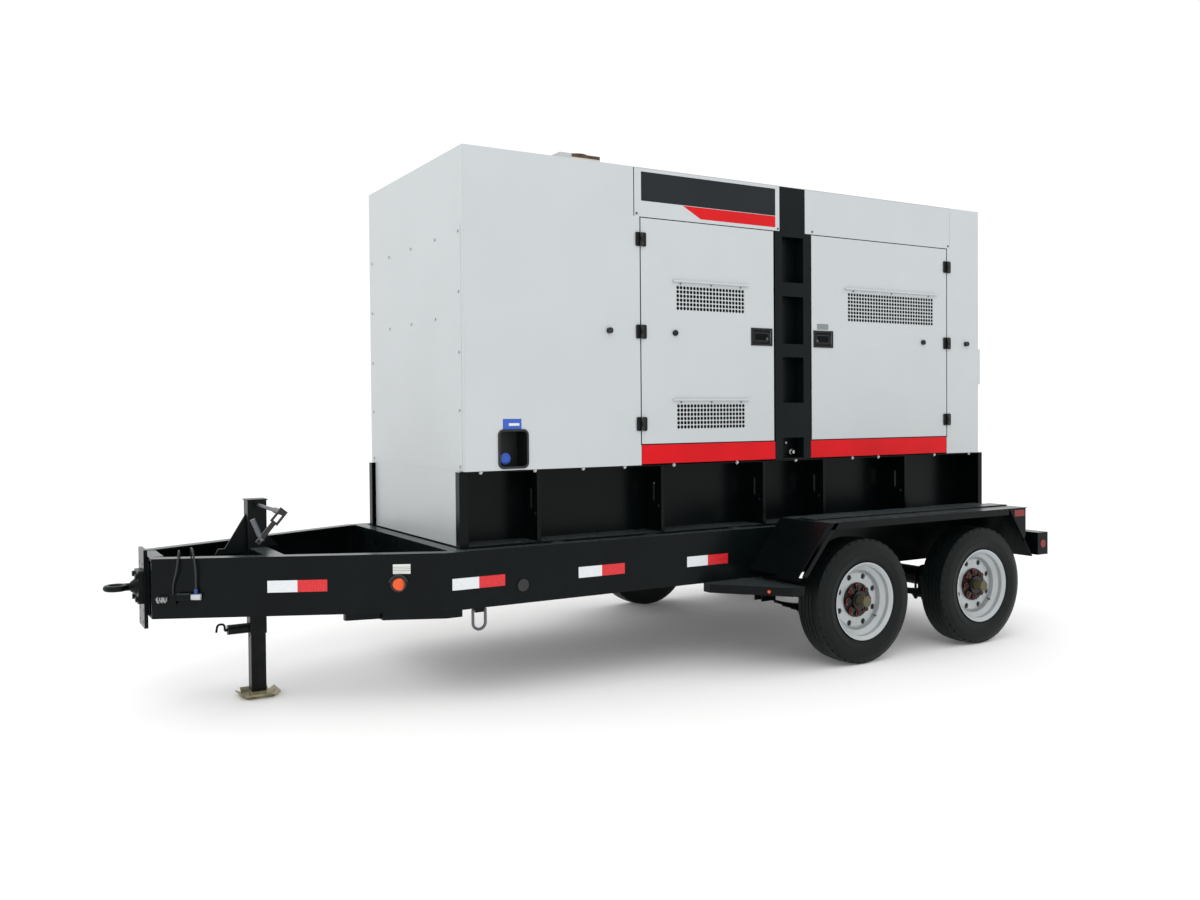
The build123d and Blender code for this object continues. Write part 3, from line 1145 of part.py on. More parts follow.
# ---- engine set ------------------------------------------------------------------------------------------
def engine():
    """Six-cylinder block, head, covers, sump, flywheel housing and turbocharger."""
    x0, x1 = ENGINE_X
    half = ENGINE_HALF
    deck = CRANK_Z + 380
    crankcase = block(x0, x1 - 110, -half, half, CRANK_Z - 120, deck)
    for index in range(6):
        x = x0 + 110 + index * 158
        crankcase -= bar_z(58, x, 0, CRANK_Z - 130, deck + 1)
    crankcase -= block(x0 + 40, x1 - 150, -half + 50, half - 50, CRANK_Z - 121, CRANK_Z + 130)
    for side in (LEFT, RIGHT):
        crankcase -= side_block(side, x0 + 60, x1 - 170, half - 60, half + 1, CRANK_Z + 170, deck - 40)
    head = block(x0 + 10, x1 - 130, -half + 60, half - 60, deck, deck + 110)
    head -= block(x0 + 50, x1 - 170, -half + 100, half - 100, deck - 1, deck + 80)
    cover = block(x0 + 40, x1 - 160, -130, 130, deck + 110, deck + 210)
    cover = fillet(cover.edges().filter_by(Axis.X).group_by(Axis.Z)[-1], 50)
    cover -= block(x0 + 48, x1 - 168, -120, 120, deck + 109, deck + 196)
    sump = block(x0 + 30, x1 - 140, -half + 20, half - 20, ENGINE_SUMP_Z, CRANK_Z - 120)
    sump -= block(x0 + 36, x1 - 146, -half + 26, half - 26, ENGINE_SUMP_Z + 6, CRANK_Z - 119)
    housing = bar_x(300, 0, CRANK_Z, x1 - 110, x1 + 59)
    housing -= bar_x(270, 0, CRANK_Z, x1 - 90, x1 + 60)
    flywheel = bar_x(230, 0, CRANK_Z, x1 - 60, x1 - 10)
    crank_nose = bar_x(35, 0, CRANK_Z, x1 - 150, x1 - 60)
    turbo = bar_x(95, half + 120, deck + 40, x0 + 420, x0 + 520)
    turbo += bar_x(70, half + 120, deck + 40, x0 + 370, x0 + 600)
    manifold = side_block(RIGHT, x0 + 90, x1 - 220, half - 59, half + 30, deck + 10, deck + 80)
    fan_z = sum(RADIATOR_Z) / 2
    fan_drive = bar_x(20, 0, fan_z, FAN_X - 25, x0) + bar_x(45, 0, fan_z, FAN_X + 31, x0)
    feet = [side_block(side, x, x + 90, half, half + 150, CRANK_Z - 110, CRANK_Z - 90) +
            side_block(side, x, x + 90, half + 60, half + 150, ENC_FLOOR + 60, CRANK_Z - 110)
            for side in (LEFT, RIGHT) for x in (x0 + 60, x1 - 260)]
    return group(crankcase, head, cover, sump, housing + flywheel + crank_nose, turbo, manifold, fan_drive, *feet)


def alternator():
    """Single-bearing alternator with its frame, end shield, terminal box and skid rails."""
    x0, x1 = ALTERNATOR_X
    body = bar_x(ALTERNATOR_R, 0, CRANK_Z, x0, x1)
    body -= bar_x(ALTERNATOR_R - 70, 0, CRANK_Z, x0 - 1, x1 - 30)
    rotor = bar_x(150, 0, CRANK_Z, x0 + 60, x1 - 60)
    box = block(x0 + 180, x1 - 160, -220, 220, CRANK_Z + ALTERNATOR_R - 30, CRANK_Z + ALTERNATOR_R + 170)
    box -= block(x0 + 186, x1 - 166, -214, 214, CRANK_Z + ALTERNATOR_R - 80, CRANK_Z + ALTERNATOR_R + 164)
    box -= bar_x(ALTERNATOR_R, 0, CRANK_Z, x0, x1)
    feet = [side_block(side, x, x + 110, 180, 300, ENC_FLOOR + 60, CRANK_Z - 220)
            for side in (LEFT, RIGHT) for x in (x0 + 90, x1 - 200)]
    feet = [foot - bar_x(ALTERNATOR_R, 0, CRANK_Z, x0, x1) for foot in feet]
    rails = [side_block(side, RADIATOR_X[0] - 120, x1 + 60, 240, 400, ENC_FLOOR - 3, ENC_FLOOR + 60) -
             side_block(side, RADIATOR_X[0] - 121, x1 + 61, 246, 394, ENC_FLOOR + 3, ENC_FLOOR + 54)
             for side in (LEFT, RIGHT)]
    return group(body, rotor, box, *feet, *rails)


def radiator():
    """Radiator core in its frame, and the shroud round the fan."""
    x0, x1 = RADIATOR_X
    z0, z1 = RADIATOR_Z
    half = RADIATOR_HALF
    tanks = [block(x0, x1, -half, half, z0, z0 + 90), block(x0, x1, -half, half, z1 - 90, z1)]
    rooms = [block(x0 + 6, x1 - 6, -half + 6, half - 6, z0 + 6, z0 + 91),
             block(x0 + 6, x1 - 6, -half + 6, half - 6, z1 - 91, z1 - 6)]
    core = block(x0 + 40, x1 - 40, -half + 20, half - 20, z0 + 90, z1 - 90)
    cheeks = [side_block(side, x0 + 20, x1 - 20, half - 20, half, z0 + 90, z1 - 90) for side in (LEFT, RIGHT)]
    middle = (z0 + z1) / 2
    shroud = []
    for index in range(SHROUD_SIDES):
        turn = Pos(0, 0, middle) * Rot(index * 360 / SHROUD_SIDES, 0, 0)
        plate = turn * sector(FAN_R + 25, 900, x1, x1 + 40)
        shroud.append(plate & block(x1, x1 + 40, -half, half, z0, z1))
        shroud.append(turn * sector(FAN_R + 25, FAN_R + 30, x1 + 40, x1 + 120))
    return group(*[tank - room for tank, room in zip(tanks, rooms)], core, *cheeks, *shroud)


def sector(inner, outer, x0, x1):
    """One of the equal flat-sided sectors that make up the shroud."""
    slope = tan(pi / SHROUD_SIDES)
    points = [(inner * slope, inner), (outer * slope, outer), (-outer * slope, outer), (-inner * slope, inner)]
    face = make_face(Polyline(*[(x0, y, z) for y, z in points], close=True))
    return extrude(face, x1 - x0, dir=(1, 0, 0))


def fan():
    """Engine fan: hub and pitched blades."""
    middle = sum(RADIATOR_Z) / 2
    rotor = bar_x(95, 0, 0, -30, 30)
    for index in range(FAN_BLADES):
        blade = Pos(0, 0, FAN_R / 2 + 30) * Rot(0, 0, 35) * Box(8, 110, FAN_R - 60)
        rotor += Rot(index * 360 / FAN_BLADES, 0, 0) * blade
    return Pos(FAN_X, 0, middle) * (rotor - bar_x(20.05, 0, 0, -31, 31))


def muffler():
    """Oval silencer across the front bay, with its pipe up through the roof."""
    can = Pos(0, 0, 2640) * bar_y(150, OUTLET_X - 350, 0, -560, 420)
    can -= Pos(0, 0, 2640) * bar_y(144, OUTLET_X - 350, 0, -554, 414)
    pipe_r = OUTLET_R
    route = FilletPolyline((OUTLET_X - 205, OUTLET_Y, 2640), (OUTLET_X, OUTLET_Y, 2640),
                           (OUTLET_X, OUTLET_Y, ENC_TOP + OUTLET_RISE + 7), radius=140)
    pipe = sweep(Plane(origin=route @ 0, z_dir=route % 0) * Circle(pipe_r), path=route)
    room = sweep(Plane(origin=route @ 0, z_dir=route % 0) * Circle(pipe_r - 3), path=route)
    straps = [block(OUTLET_X - 366, OUTLET_X - 334, y, y + 40, 2789, ENC_TOP - SKIN) for y in (-300, 200)]
    return group(can, pipe - room, *straps)


def air_cleaner():
    """Air cleaner can with its end cap and bracket."""
    can = bar_x(140, -430, 2420, 1750, 2120)
    can -= bar_x(132, -430, 2420, 1760, 2121)
    cap = bar_x(146, -430, 2420, 2120, 2150)
    neck = bar_y(60, 1830, 2420, -300, -180) - bar_y(54, 1830, 2420, -301, -179)
    saddle = block(1860, 1900, -500, -360, 2200, 2285)
    return group(can, cap, neck, saddle)


def battery():
    """Two starting batteries in a tray on the base."""
    pieces = [block(3330, 3700, -640, -240, ENC_FLOOR - 3, ENC_FLOOR + 10)]
    for y in (-620.0, -435.0):
        case = block(3350, 3680, y, y + 175, ENC_FLOOR + 10, ENC_FLOOR + 250)
        posts = [bar_z(10, x, y + 40, ENC_FLOOR + 250, ENC_FLOOR + 270) for x in (3390, 3640)]
        pieces.append(case + posts[0] + posts[1])
    return group(*pieces)


def control_cabinet():
    """Control and breaker cabinet behind the back door."""
    x0, x1 = 3760.0, 3990.0
    case = block(x0, x1, -400, 400, 1440, 2540)
    case -= block(x0 + 4, x1 - 30, -396, 396, 1444, 2536)
    case -= block(x1 - 60, x1 + 1, -360, 360, 1990, 2500)
    screen = block(x1 - 30, x1 - 12, -140, 140, 2160, 2360)
    bezel = block(x1 - 60, x1 - 30, -360, 360, 1990, 2500)
    breaker = block(x1, x1 + 14, -150, 150, 1600, 1840)
    legs = [side_block(side, x0, x1 - 30, 340, 400, ENC_FLOOR - 3, 1440) -
            side_block(side, x0 + 6, x1 - 36, 346, 394, ENC_FLOOR - 4, 1441) for side in (LEFT, RIGHT)]
    return group(case, bezel, screen, breaker, *legs)


# ---- tow cable -------------------------------------------------------------------------------------------
CABLE_POINTS = [(-1298.0, -305.4, 742.0), (-1281.1, -269.1, 742.0), (-1284.0, -224.0, 766.0),
                (-1292.0, -196.0, 808.0), (-1299.0, -206.0, 852.0), (-1304.0, -248.0, 872.0),
                (-1307.0, -298.0, 864.0), (-1306.0, -334.0, 830.0), (-1303.0, -347.0, 782.0),
                (-1301.0, -349.0, 735.0), (-1300.0, -341.0, 700.0), (-1300.0, -341.0, 672.0)]
SWITCH_CABLE_R = 5.0
SWITCH_CABLE_POINTS = [(-1345.0, -283.5, 735.0), (-1331.1, -253.6, 735.0), (-1334.0, -212.0, 752.0),
                       (-1342.0, -184.0, 790.0), (-1350.0, -188.0, 832.0), (-1358.0, -220.0, 858.0),
                       (-1367.0, -262.0, 858.0), (-1376.0, -298.0, 830.0), (-1384.0, -312.0, 786.0),
                       (-1392.0, -308.0, 742.0), (-1398.0, -293.0, 708.0), (-1400.0, -281.4, 676.0),
                       (-1400.0, -281.4, 645.0)]
BREAKAWAY_R = 2.5
COIL_R = 21.0
COIL_TURNS = 7


def cable_radii(points):
    """Largest arc for each corner of the route: 0.45 of its shorter run over the half-turn's tangent."""
    radii = []
    for before, here, after in zip(points, points[1:], points[2:]):
        run_in, run_out = Vector(*here) - Vector(*before), Vector(*after) - Vector(*here)
        turn = radians(run_in.get_angle(run_out))
        radii.append(0.45 * min(run_in.length, run_out.length) / tan(turn / 2))
    return radii


def cable_tube(name, points, radius):
    """Round cable of straight runs joined by arcs; reports its bends and its length."""
    radii = cable_radii(points)
    print(name, "bend radii:", [round(bend, 1) for bend in radii])
    route = FilletPolyline(*points, radius=radii)
    tube = sweep(Plane(origin=route @ 0, z_dir=route % 0) * Circle(radius), path=route)
    print(name, "length", round(route.length, 1), "volume ratio",
          round(tube.volume / (pi * radius ** 2 * route.length), 4))
    return group(tube)


def tow_cable():
    return cable_tube("tow cable", CABLE_POINTS, CABLE_R)


def switch_cable():
    return cable_tube("switch cable", SWITCH_CABLE_POINTS, SWITCH_CABLE_R)


def beam_side(x, out, z):
    """Place outside the left tongue beam's outer face, with local X rearward along the beam."""
    angle = radians(TONGUE_ANGLE)
    place = Pos(x - out * sin(angle), -tongue_y(x, 0) - out * cos(angle), z)
    return place * Rot(0, 0, -TONGUE_ANGLE)


def plug_place():
    """Centre of the plug's shell below the end of the cable."""
    x, y, z = CABLE_POINTS[-1]
    return Pos(x, y, z - 40) * Rot(0, 0, -TONGUE_ANGLE)


def trailer_plug():
    """Seven-way plug: boot below the cable and a round shell along the beam."""
    return plug_place() * (bar_z(9, 0, 0, 0, 40) + bar_x(17, 0, 0, -24, 24))


def plug_holder():
    """Round holder in front of the plug and the bracket that carries it on the beam."""
    holder = bar_x(19, 0, 0, -92, -24.5) + block(-84, -34, 8, 23.7, -12, 12)
    return plug_place() * holder


def breakaway_switch():
    """Breakaway switch box on the beam, where the coiled wire starts."""
    return beam_side(-1395, 12, 620) * block(-17, 17, -12, 11.9, -25, 25)


def breakaway_wire():
    """Coiled wire that lies along the beam in front of the switch."""
    pitch = 9.0
    coil = Helix(pitch=pitch, height=pitch * COIL_TURNS, radius=COIL_R)
    profile = Plane(origin=coil @ 0, z_dir=coil % 0) * Circle(BREAKAWAY_R)
    wire = sweep(profile, path=coil, is_frenet=True)
    return beam_side(-1395, 31, 620) * Pos(-20, 0, 0) * Rot(0, -90, 0) * Rot(0, 0, 90) * wire


SUBPARTS = {
    "main_beams": main_beams, "tongue_beams": tongue_beams, "tow_eye": tow_eye,
    "jack_housing": jack_housing, "fenders": fenders, "rear_bumper": rear_bumper,
    "lamp_lenses": lamp_lenses, "reflective_tape": reflective_tape, "spring_hangers": spring_hangers,
    "base_tank": base_tank, "front_panel": front_panel, "side_panels": side_panels,
    "roof_panel": roof_panel, "header_panels": header_panels, "lift_columns": lift_columns,
    "sill_panels": sill_panels, "rear_wall": rear_wall, "engine": engine, "alternator": alternator,
    "radiator": radiator, "muffler": muffler, "air_cleaner": air_cleaner, "battery": battery,
    "control_cabinet": control_cabinet, "panel_hardware": panel_hardware, "tow_cable": tow_cable,
    "trailer_plug": trailer_plug, "switch_cable": switch_cable, "breakaway_wire": breakaway_wire,
    "equalizers": equalizers, "rear_door": rear_door,
    "jack_ram": jack_ram, "drop_leg": drop_leg, "jack_pin": jack_pin, "jack_crank": jack_crank,
    "crank_grip": crank_grip, "fan": fan, "exhaust_cap": exhaust_cap,
}


def build():
    os.makedirs("parts", exist_ok=True)
    for name, make in SUBPARTS.items():
        write(name, make())
    clips = [d_ring_clip(side) for side in (LEFT, RIGHT)]
    write("crossmembers", group(crossmembers(), plug_holder(), breakaway_switch(), *clips))
    write("side_steps", group(side_step(LEFT), side_step(RIGHT)))
    for side, side_name in ((LEFT, "left"), (RIGHT, "right")):
        for x, end_name in zip(AXLE_X, ("front", "rear")):
            write(f"tyre_{side_name}_{end_name}", tyre(x, side))
            write(f"rim_{side_name}_{end_name}", rim(x, side))
        write(f"d_ring_{side_name}", d_ring(side))
        doors = (("front", FRONT_DOOR_X, FRONT_DOOR_VENTS, True), ("rear", REAR_DOOR_X, REAR_DOOR_VENTS, False))
        for end_name, x_range, vents, hinge_at_front in doors:
            write(f"door_{side_name}_{end_name}", door(side, x_range, vents, hinge_at_front))
            write(f"latch_{side_name}_{end_name}", latch_paddle(side, x_range, hinge_at_front))
    for x, end_name in zip(AXLE_X, ("front", "rear")):
        write(f"axle_{end_name}", axle(x))


build()
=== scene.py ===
"""Visual model of a towable diesel generator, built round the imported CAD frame."""

import logging
import math
from dataclasses import dataclass, field
from enum import Enum
from typing import Callable, Sequence, Union

import bpy
from mathutils import Matrix, Vector


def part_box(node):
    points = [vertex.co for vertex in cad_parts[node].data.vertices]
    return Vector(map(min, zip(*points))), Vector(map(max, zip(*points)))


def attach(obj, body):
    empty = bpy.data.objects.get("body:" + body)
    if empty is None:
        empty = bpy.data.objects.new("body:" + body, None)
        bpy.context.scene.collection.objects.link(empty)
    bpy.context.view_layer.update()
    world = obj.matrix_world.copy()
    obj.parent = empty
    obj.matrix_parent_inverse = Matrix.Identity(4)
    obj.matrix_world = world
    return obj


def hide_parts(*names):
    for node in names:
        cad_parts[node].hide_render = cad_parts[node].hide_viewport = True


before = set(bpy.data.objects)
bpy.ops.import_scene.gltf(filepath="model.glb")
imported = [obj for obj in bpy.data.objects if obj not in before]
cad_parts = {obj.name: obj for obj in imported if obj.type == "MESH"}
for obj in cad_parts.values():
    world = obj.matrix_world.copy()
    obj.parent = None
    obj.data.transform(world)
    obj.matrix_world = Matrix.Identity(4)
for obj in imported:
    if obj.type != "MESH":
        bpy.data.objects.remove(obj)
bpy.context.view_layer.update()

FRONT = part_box("roof_panel")[0].x
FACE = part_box("roof_panel")[1].y
LOG = logging.getLogger("generator")

TONGUE_ANGLE = math.radians(25.0)
TONGUE_WAY = Vector((math.cos(TONGUE_ANGLE), -math.sin(TONGUE_ANGLE), 0.0))

Point = Sequence[float]
Level = Union[float, "Signal"]
Colour = tuple[float, float, float, float]


class Side(Enum):
    """Side of the trailer, with its sign along Y."""

    LEFT = -1
    RIGHT = 1

    @property
    def word(self) -> str:
        """The side's name as the CAD nodes spell it."""
        return self.name.lower()

    @property
    def outward(self) -> Point:
        """The direction that faces away from the housing on this side."""
        return (0, self.value, 0)

    @property
    def turn(self) -> Matrix:
        """Turn a piece that was made for the left side to this side."""
        return Matrix.Rotation(math.pi, 4, "Z") if self is Side.RIGHT else Matrix.Identity(4)


class End(Enum):
    """Which of two like pieces along the trailer."""

    FRONT = "front"
    REAR = "rear"


def centre_of(node: str) -> Vector:
    """Middle of a CAD node's box at rest."""
    low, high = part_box(node)
    return (low + high) / 2


def linear(red: int, green: int, blue: int) -> Colour:
    """Turn a display colour into the linear colour that shaders use.

    Args:
        red, green, blue: display levels from 0 to 255.

    Returns:
        Linear red, green, blue and an alpha of 1.
    """
    levels = []
    for level in (red, green, blue):
        share = level / 255
        levels.append(share / 12.92 if share <= 0.04045 else ((share + 0.055) / 1.055) ** 2.4)
    return (*levels, 1.0)


def scaled(colour: Colour, factor: float, lift: float = 0.0) -> Colour:
    """Make a colour darker or paler, within what a surface can reflect."""
    return tuple(min(1.0, level * factor + lift) for level in colour[:3]) + (1.0,)


# ---- shader maths ---------------------------------------------------------------------------------


class Signal:
    """A shader socket that can be used in Python expressions."""

    def __init__(self, board: "Board", socket: bpy.types.NodeSocket) -> None:
        """Wrap a socket of a board's node tree."""
        self.board = board
        self.socket = socket

    def maths(self, operation: str, *others: Level) -> "Signal":
        """Add a Math node that starts with this signal.

        Args:
            operation: the Math node's operation.
            others: the values or signals of its further sockets.

        Returns:
            The node's result.
        """
        return self.board.add("ShaderNodeMath", {"operation": operation}, self, *others)

    def __add__(self, other: Level) -> "Signal":
        """Sum."""
        return self.maths("ADD", other)

    def __sub__(self, other: Level) -> "Signal":
        """Difference."""
        return self.maths("SUBTRACT", other)

    def __mul__(self, other: Level) -> "Signal":
        """Product."""
        return self.maths("MULTIPLY", other)

    def __truediv__(self, other: Level) -> "Signal":
        """Quotient."""
        return self.maths("DIVIDE", other)

    def __radd__(self, other: float) -> "Signal":
        """Sum with a number on the left."""
        return self.maths("ADD", other)

    def __rmul__(self, other: float) -> "Signal":
        """Product with a number on the left."""
        return self.maths("MULTIPLY", other)

    def __rsub__(self, other: float) -> "Signal":
        """Difference from a number on the left."""
        return self.board.add("ShaderNodeMath", {"operation": "SUBTRACT"}, other, self)

    def __gt__(self, other: Level) -> "Signal":
        """One where this signal is greater."""
        return self.maths("GREATER_THAN", other)

    def __lt__(self, other: Level) -> "Signal":
        """One where this signal is less."""
        return self.maths("LESS_THAN", other)

    def size(self) -> "Signal":
        """Absolute value."""
        return self.maths("ABSOLUTE")

    def clipped(self) -> "Signal":
        """This signal kept between 0 and 1."""
        return self.maths("MINIMUM", 1.0).maths("MAXIMUM", 0.0)

    def between(self, low: float, high: float) -> "Signal":
        """One where this signal lies between two values."""
        return (self > low) * (self < high)

    def ramp(self, low: float, high: float) -> "Signal":
        """Rise smoothly from 0 at one value to 1 at the other."""
        settings = {"interpolation_type": "SMOOTHSTEP"}
        return self.board.add("ShaderNodeMapRange", settings, self, low, high, 0.0, 1.0)


@dataclass
class Layer:
    """What one finish gives at each point of a surface."""

    colour: Signal
    roughness: Signal
    metallic: Level
    height: Signal


class Board:
    """Node tree of one material."""

    def __init__(self, name: str) -> None:
        """Start a material with only its output."""
        self.material = bpy.data.materials.new(name)
        self.material.use_nodes = True
        self.tree = self.material.node_tree
        self.tree.nodes.clear()
        self.output = self.tree.nodes.new("ShaderNodeOutputMaterial")
        place = self.tree.nodes.new("ShaderNodeTexCoord")
        self.place = Signal(self, place.outputs["Object"])
        parts = self.tree.nodes.new("ShaderNodeSeparateXYZ")
        self.tree.links.new(place.outputs["Object"], parts.inputs[0])
        self.x, self.y, self.z = (Signal(self, output) for output in parts.outputs)

    def add(self, kind: str, settings: dict, *values: object, output: int = 0, **named: object) -> Signal:
        """Add any node.

        Args:
            kind: the node's type.
            settings: its properties, set first; "stops" sets a ramp's stops.
            values: the values or signals of its sockets in order.
            output: which of its outputs is returned.
            named: further sockets by name, with underscores for spaces.

        Returns:
            The chosen output.
        """
        node = self.tree.nodes.new(kind)
        for key, value in settings.items():
            setattr(node, key, value)
        sockets = [socket for socket in node.inputs if socket.enabled]
        pairs = list(zip(sockets, values))
        pairs += [(node.inputs[key.replace("_", " ")], value) for key, value in named.items()]
        for socket, value in pairs:
            if isinstance(value, Signal):
                self.tree.links.new(value.socket, socket)
            elif value is not None:
                socket.default_value = value
        outputs = [socket for socket in node.outputs if socket.enabled]
        return Signal(self, outputs[output])

    def facing_up(self) -> Signal:
        """How far the surface faces upwards, from -1 to 1."""
        place = self.tree.nodes.new("ShaderNodeTexCoord")
        return self.add("ShaderNodeSeparateXYZ", {}, Signal(self, place.outputs["Normal"]), output=2)

    def noise(self, scale: float, detail: float = 3.0, stretch: Point = (1, 1, 1)) -> Signal:
        """Soft random pattern.

        Args:
            scale: features per metre.
            detail: how many finer octaves it has.
            stretch: scale of the pattern along each axis.

        Returns:
            A value that varies about 0.5.
        """
        where = self.add("ShaderNodeMapping", {}, self.place, Scale=tuple(stretch))
        return self.add("ShaderNodeTexNoise", {}, where, Scale=scale, Detail=detail)

    def cells(self, scale: float, feature: str = "F1", stretch: Point = (1, 1, 1)) -> Signal:
        """Cell pattern: distance to the nearest cell centre or edge."""
        where = self.add("ShaderNodeMapping", {}, self.place, Scale=tuple(stretch))
        return self.add("ShaderNodeTexVoronoi", {"feature": feature}, where, Scale=scale)

    def blend(self, share: Level, first: object, second: object) -> Signal:
        """Mix two colours; share is the second's part."""
        node = self.tree.nodes.new("ShaderNodeMix")
        node.data_type = "RGBA"
        for socket, value in zip((node.inputs[0], node.inputs[6], node.inputs[7]), (share, first, second)):
            if isinstance(value, Signal):
                self.tree.links.new(value.socket, socket)
            else:
                socket.default_value = value
        return Signal(self, node.outputs[2])

    def mix(self, share: Signal, first: Level, second: Level) -> Signal:
        """Mix two numbers; share is the second's part."""
        return self.add("ShaderNodeMix", {"data_type": "FLOAT"}, share, first, second)

    def over(self, base: Layer, mask: Signal, top: Layer) -> Layer:
        """Lay one finish over another where the mask is 1."""
        return Layer(self.blend(mask, base.colour, top.colour), self.mix(mask, base.roughness, top.roughness),
                     self.mix(mask, base.metallic, top.metallic), self.mix(mask, base.height, top.height))

    def close(self, layer: Layer, depth: float, specular: float = 0.5, **constants: float) -> bpy.types.Material:
        """Join a layer to the shader and the output.

        Args:
            layer: the finish to show.
            depth: how far in metres a height of 1 stands out.
            specular: the shader's constant specular level.
            constants: further constant sockets of the shader.

        Returns:
            The finished material.
        """
        relief = self.add("ShaderNodeBump", {}, Strength=1.0, Distance=depth, Height=layer.height)
        shader = self.add("ShaderNodeBsdfPrincipled", {}, Base_Color=layer.colour, Roughness=layer.roughness,
                          Metallic=layer.metallic, Normal=relief, Specular_IOR_Level=specular, **constants)
        self.tree.links.new(shader.socket, self.output.inputs[0])
        return self.material


# ---- finishes -------------------------------------------------------------------------------------


@dataclass(frozen=True)
class Finish:
    """A surface finish with fine relief, colour drift, a film of road dust and, where top_film is set, a painted
    sheen on upward faces.
    """

    colour: Colour
    roughness: float
    metallic: float = 0.0
    drift: float = 0.06
    drift_scale: float = 2.5
    grain_scale: float = 700.0
    grain: float = 0.25
    gloss_drift: float = 0.12
    dust: float = 0.0
    dust_top: float = 1.0
    dust_colour: Colour = linear(120, 112, 100)
    # top_film pales upward faces towards film_colour: a painted sheen standing for the lit tops of glossy paint.
    top_film: float = 0.0
    film_colour: Colour = linear(74, 82, 84)

    def lay(self, board: Board) -> Layer:
        """Make this finish's layer on a board.

        Args:
            board: the material to make it in.

        Returns:
            Its colour, roughness, metallic value and height.
        """
        cloud = board.noise(self.drift_scale, 4.0)
        fine = board.noise(self.grain_scale, 2.0)
        dark, pale = (scaled(self.colour, 1 + way * 2 * self.drift) for way in (-1, 1))
        colour = board.blend(cloud.ramp(0.3, 0.7), dark, pale)
        roughness = self.roughness + (cloud - 0.5) * self.gloss_drift + (fine - 0.5) * 0.05
        if self.dust > 0:
            low = 1 - board.z.ramp(0.0, self.dust_top)
            film = low * board.noise(9.0, 6.0).ramp(0.35, 0.75) * self.dust
            colour = board.blend(film, colour, self.dust_colour)
            roughness = roughness + film * 0.4
        # Painted sheen: faces that point upwards are paled as if lit from above.
        if self.top_film > 0:
            film = board.facing_up().ramp(0.6, 0.95) * (0.6 + cloud * 0.6) * self.top_film
            colour = board.blend(film.clipped(), colour, self.film_colour)
        return Layer(colour, roughness.clipped(), self.metallic, fine * self.grain)


@dataclass(frozen=True)
class Brushed:
    """Bare or plated metal with drawn lines along one axis."""

    colour: Colour
    roughness: float
    lines: Point = (4, 260, 260)

    def lay(self, board: Board) -> Layer:
        """Make the metal's layer on a board."""
        drawn = board.noise(6.0, 5.0, self.lines)
        spangle = board.cells(60.0)
        colour = board.blend((drawn * 0.6 + spangle * 0.5).clipped(), scaled(self.colour, 0.72), self.colour)
        return Layer(colour, (self.roughness + (drawn - 0.5) * 0.25).clipped(), 1.0, drawn * 0.5)


@dataclass(frozen=True)
class Rubber:
    """Tyre or cable rubber, matt, with dust in its low places."""

    colour: Colour = linear(10, 16, 16)
    dust: float = 0.03

    def lay(self, board: Board) -> Layer:
        """Make the rubber's layer on a board."""
        cloud = board.noise(14.0, 5.0)
        fine = board.noise(1400.0, 2.0)
        dusty = linear(92, 88, 82)
        film = cloud.ramp(0.45, 0.8) * self.dust * (1 - board.z.ramp(0.05, 0.7) * 0.5)
        colour = board.blend(film, self.colour, dusty)
        return Layer(colour, (0.46 + (cloud - 0.5) * 0.2).clipped(), 0.0, fine * 0.4)


@dataclass(frozen=True)
class Foam:
    """Charcoal sound-absorbing foam with a waffle relief."""

    colour: Colour = linear(40, 42, 44)

    def lay(self, board: Board) -> Layer:
        """Make the foam's layer on a board."""
        pores = board.cells(220.0)
        wave = (board.x * 90.0).maths("SINE") * (board.z * 90.0).maths("SINE")
        colour = board.blend((pores * 0.8 + wave * 0.2).clipped(), self.colour, scaled(self.colour, 1.8))
        return Layer(colour, (0.95 - pores * 0.08).clipped(), 0.0, wave * 4.0 + pores)


@dataclass(frozen=True)
class Reflector:
    """Prismatic tape: small hexagon cells with pale borders."""

    colour: Colour

    def lay(self, board: Board) -> Layer:
        """Make the tape's layer on a board."""
        edge = board.cells(160.0, "DISTANCE_TO_EDGE")
        border = 1 - edge.ramp(0.0, 0.12)
        colour = board.blend(border * 0.6, self.colour, scaled(self.colour, 1.25, 0.02))
        return Layer(colour, (0.22 + border * 0.2).clipped(), 0.0, edge * 0.4)


@dataclass(frozen=True)
class Lens:
    """Moulded lamp lens with fine flutes."""

    colour: Colour

    def lay(self, board: Board) -> Layer:
        """Make the lens's layer on a board."""
        flutes = (board.z * 1500.0).maths("SINE") * 0.5 + 0.5
        glow = board.cells(120.0)
        colour = board.blend((flutes * 0.35 + glow * 0.4).clipped(), self.colour, scaled(self.colour, 1.5, 0.03))
        return Layer(colour, (0.1 + glow * 0.12).clipped(), 0.0, flutes)


@dataclass(frozen=True)
class Fins:
    """Radiator core of closely set fins and flat tubes, with painted shade in the gaps between the fins."""

    colour: Colour = linear(150, 152, 155)

    def lay(self, board: Board) -> Layer:
        """Make the core's layer on a board."""
        fins = (board.z * 1800.0).maths("SINE") * 0.5 + 0.5
        tubes = (board.y * 420.0).maths("SINE").ramp(0.6, 0.9)
        # The dark colour is painted shade in the gaps between the fins and tubes.
        dark = linear(25, 26, 28)
        colour = board.blend((fins * 0.6 + tubes * 0.6).clipped(), dark, self.colour)
        return Layer(colour, (0.5 - tubes * 0.15).clipped(), 0.7, fins + tubes)


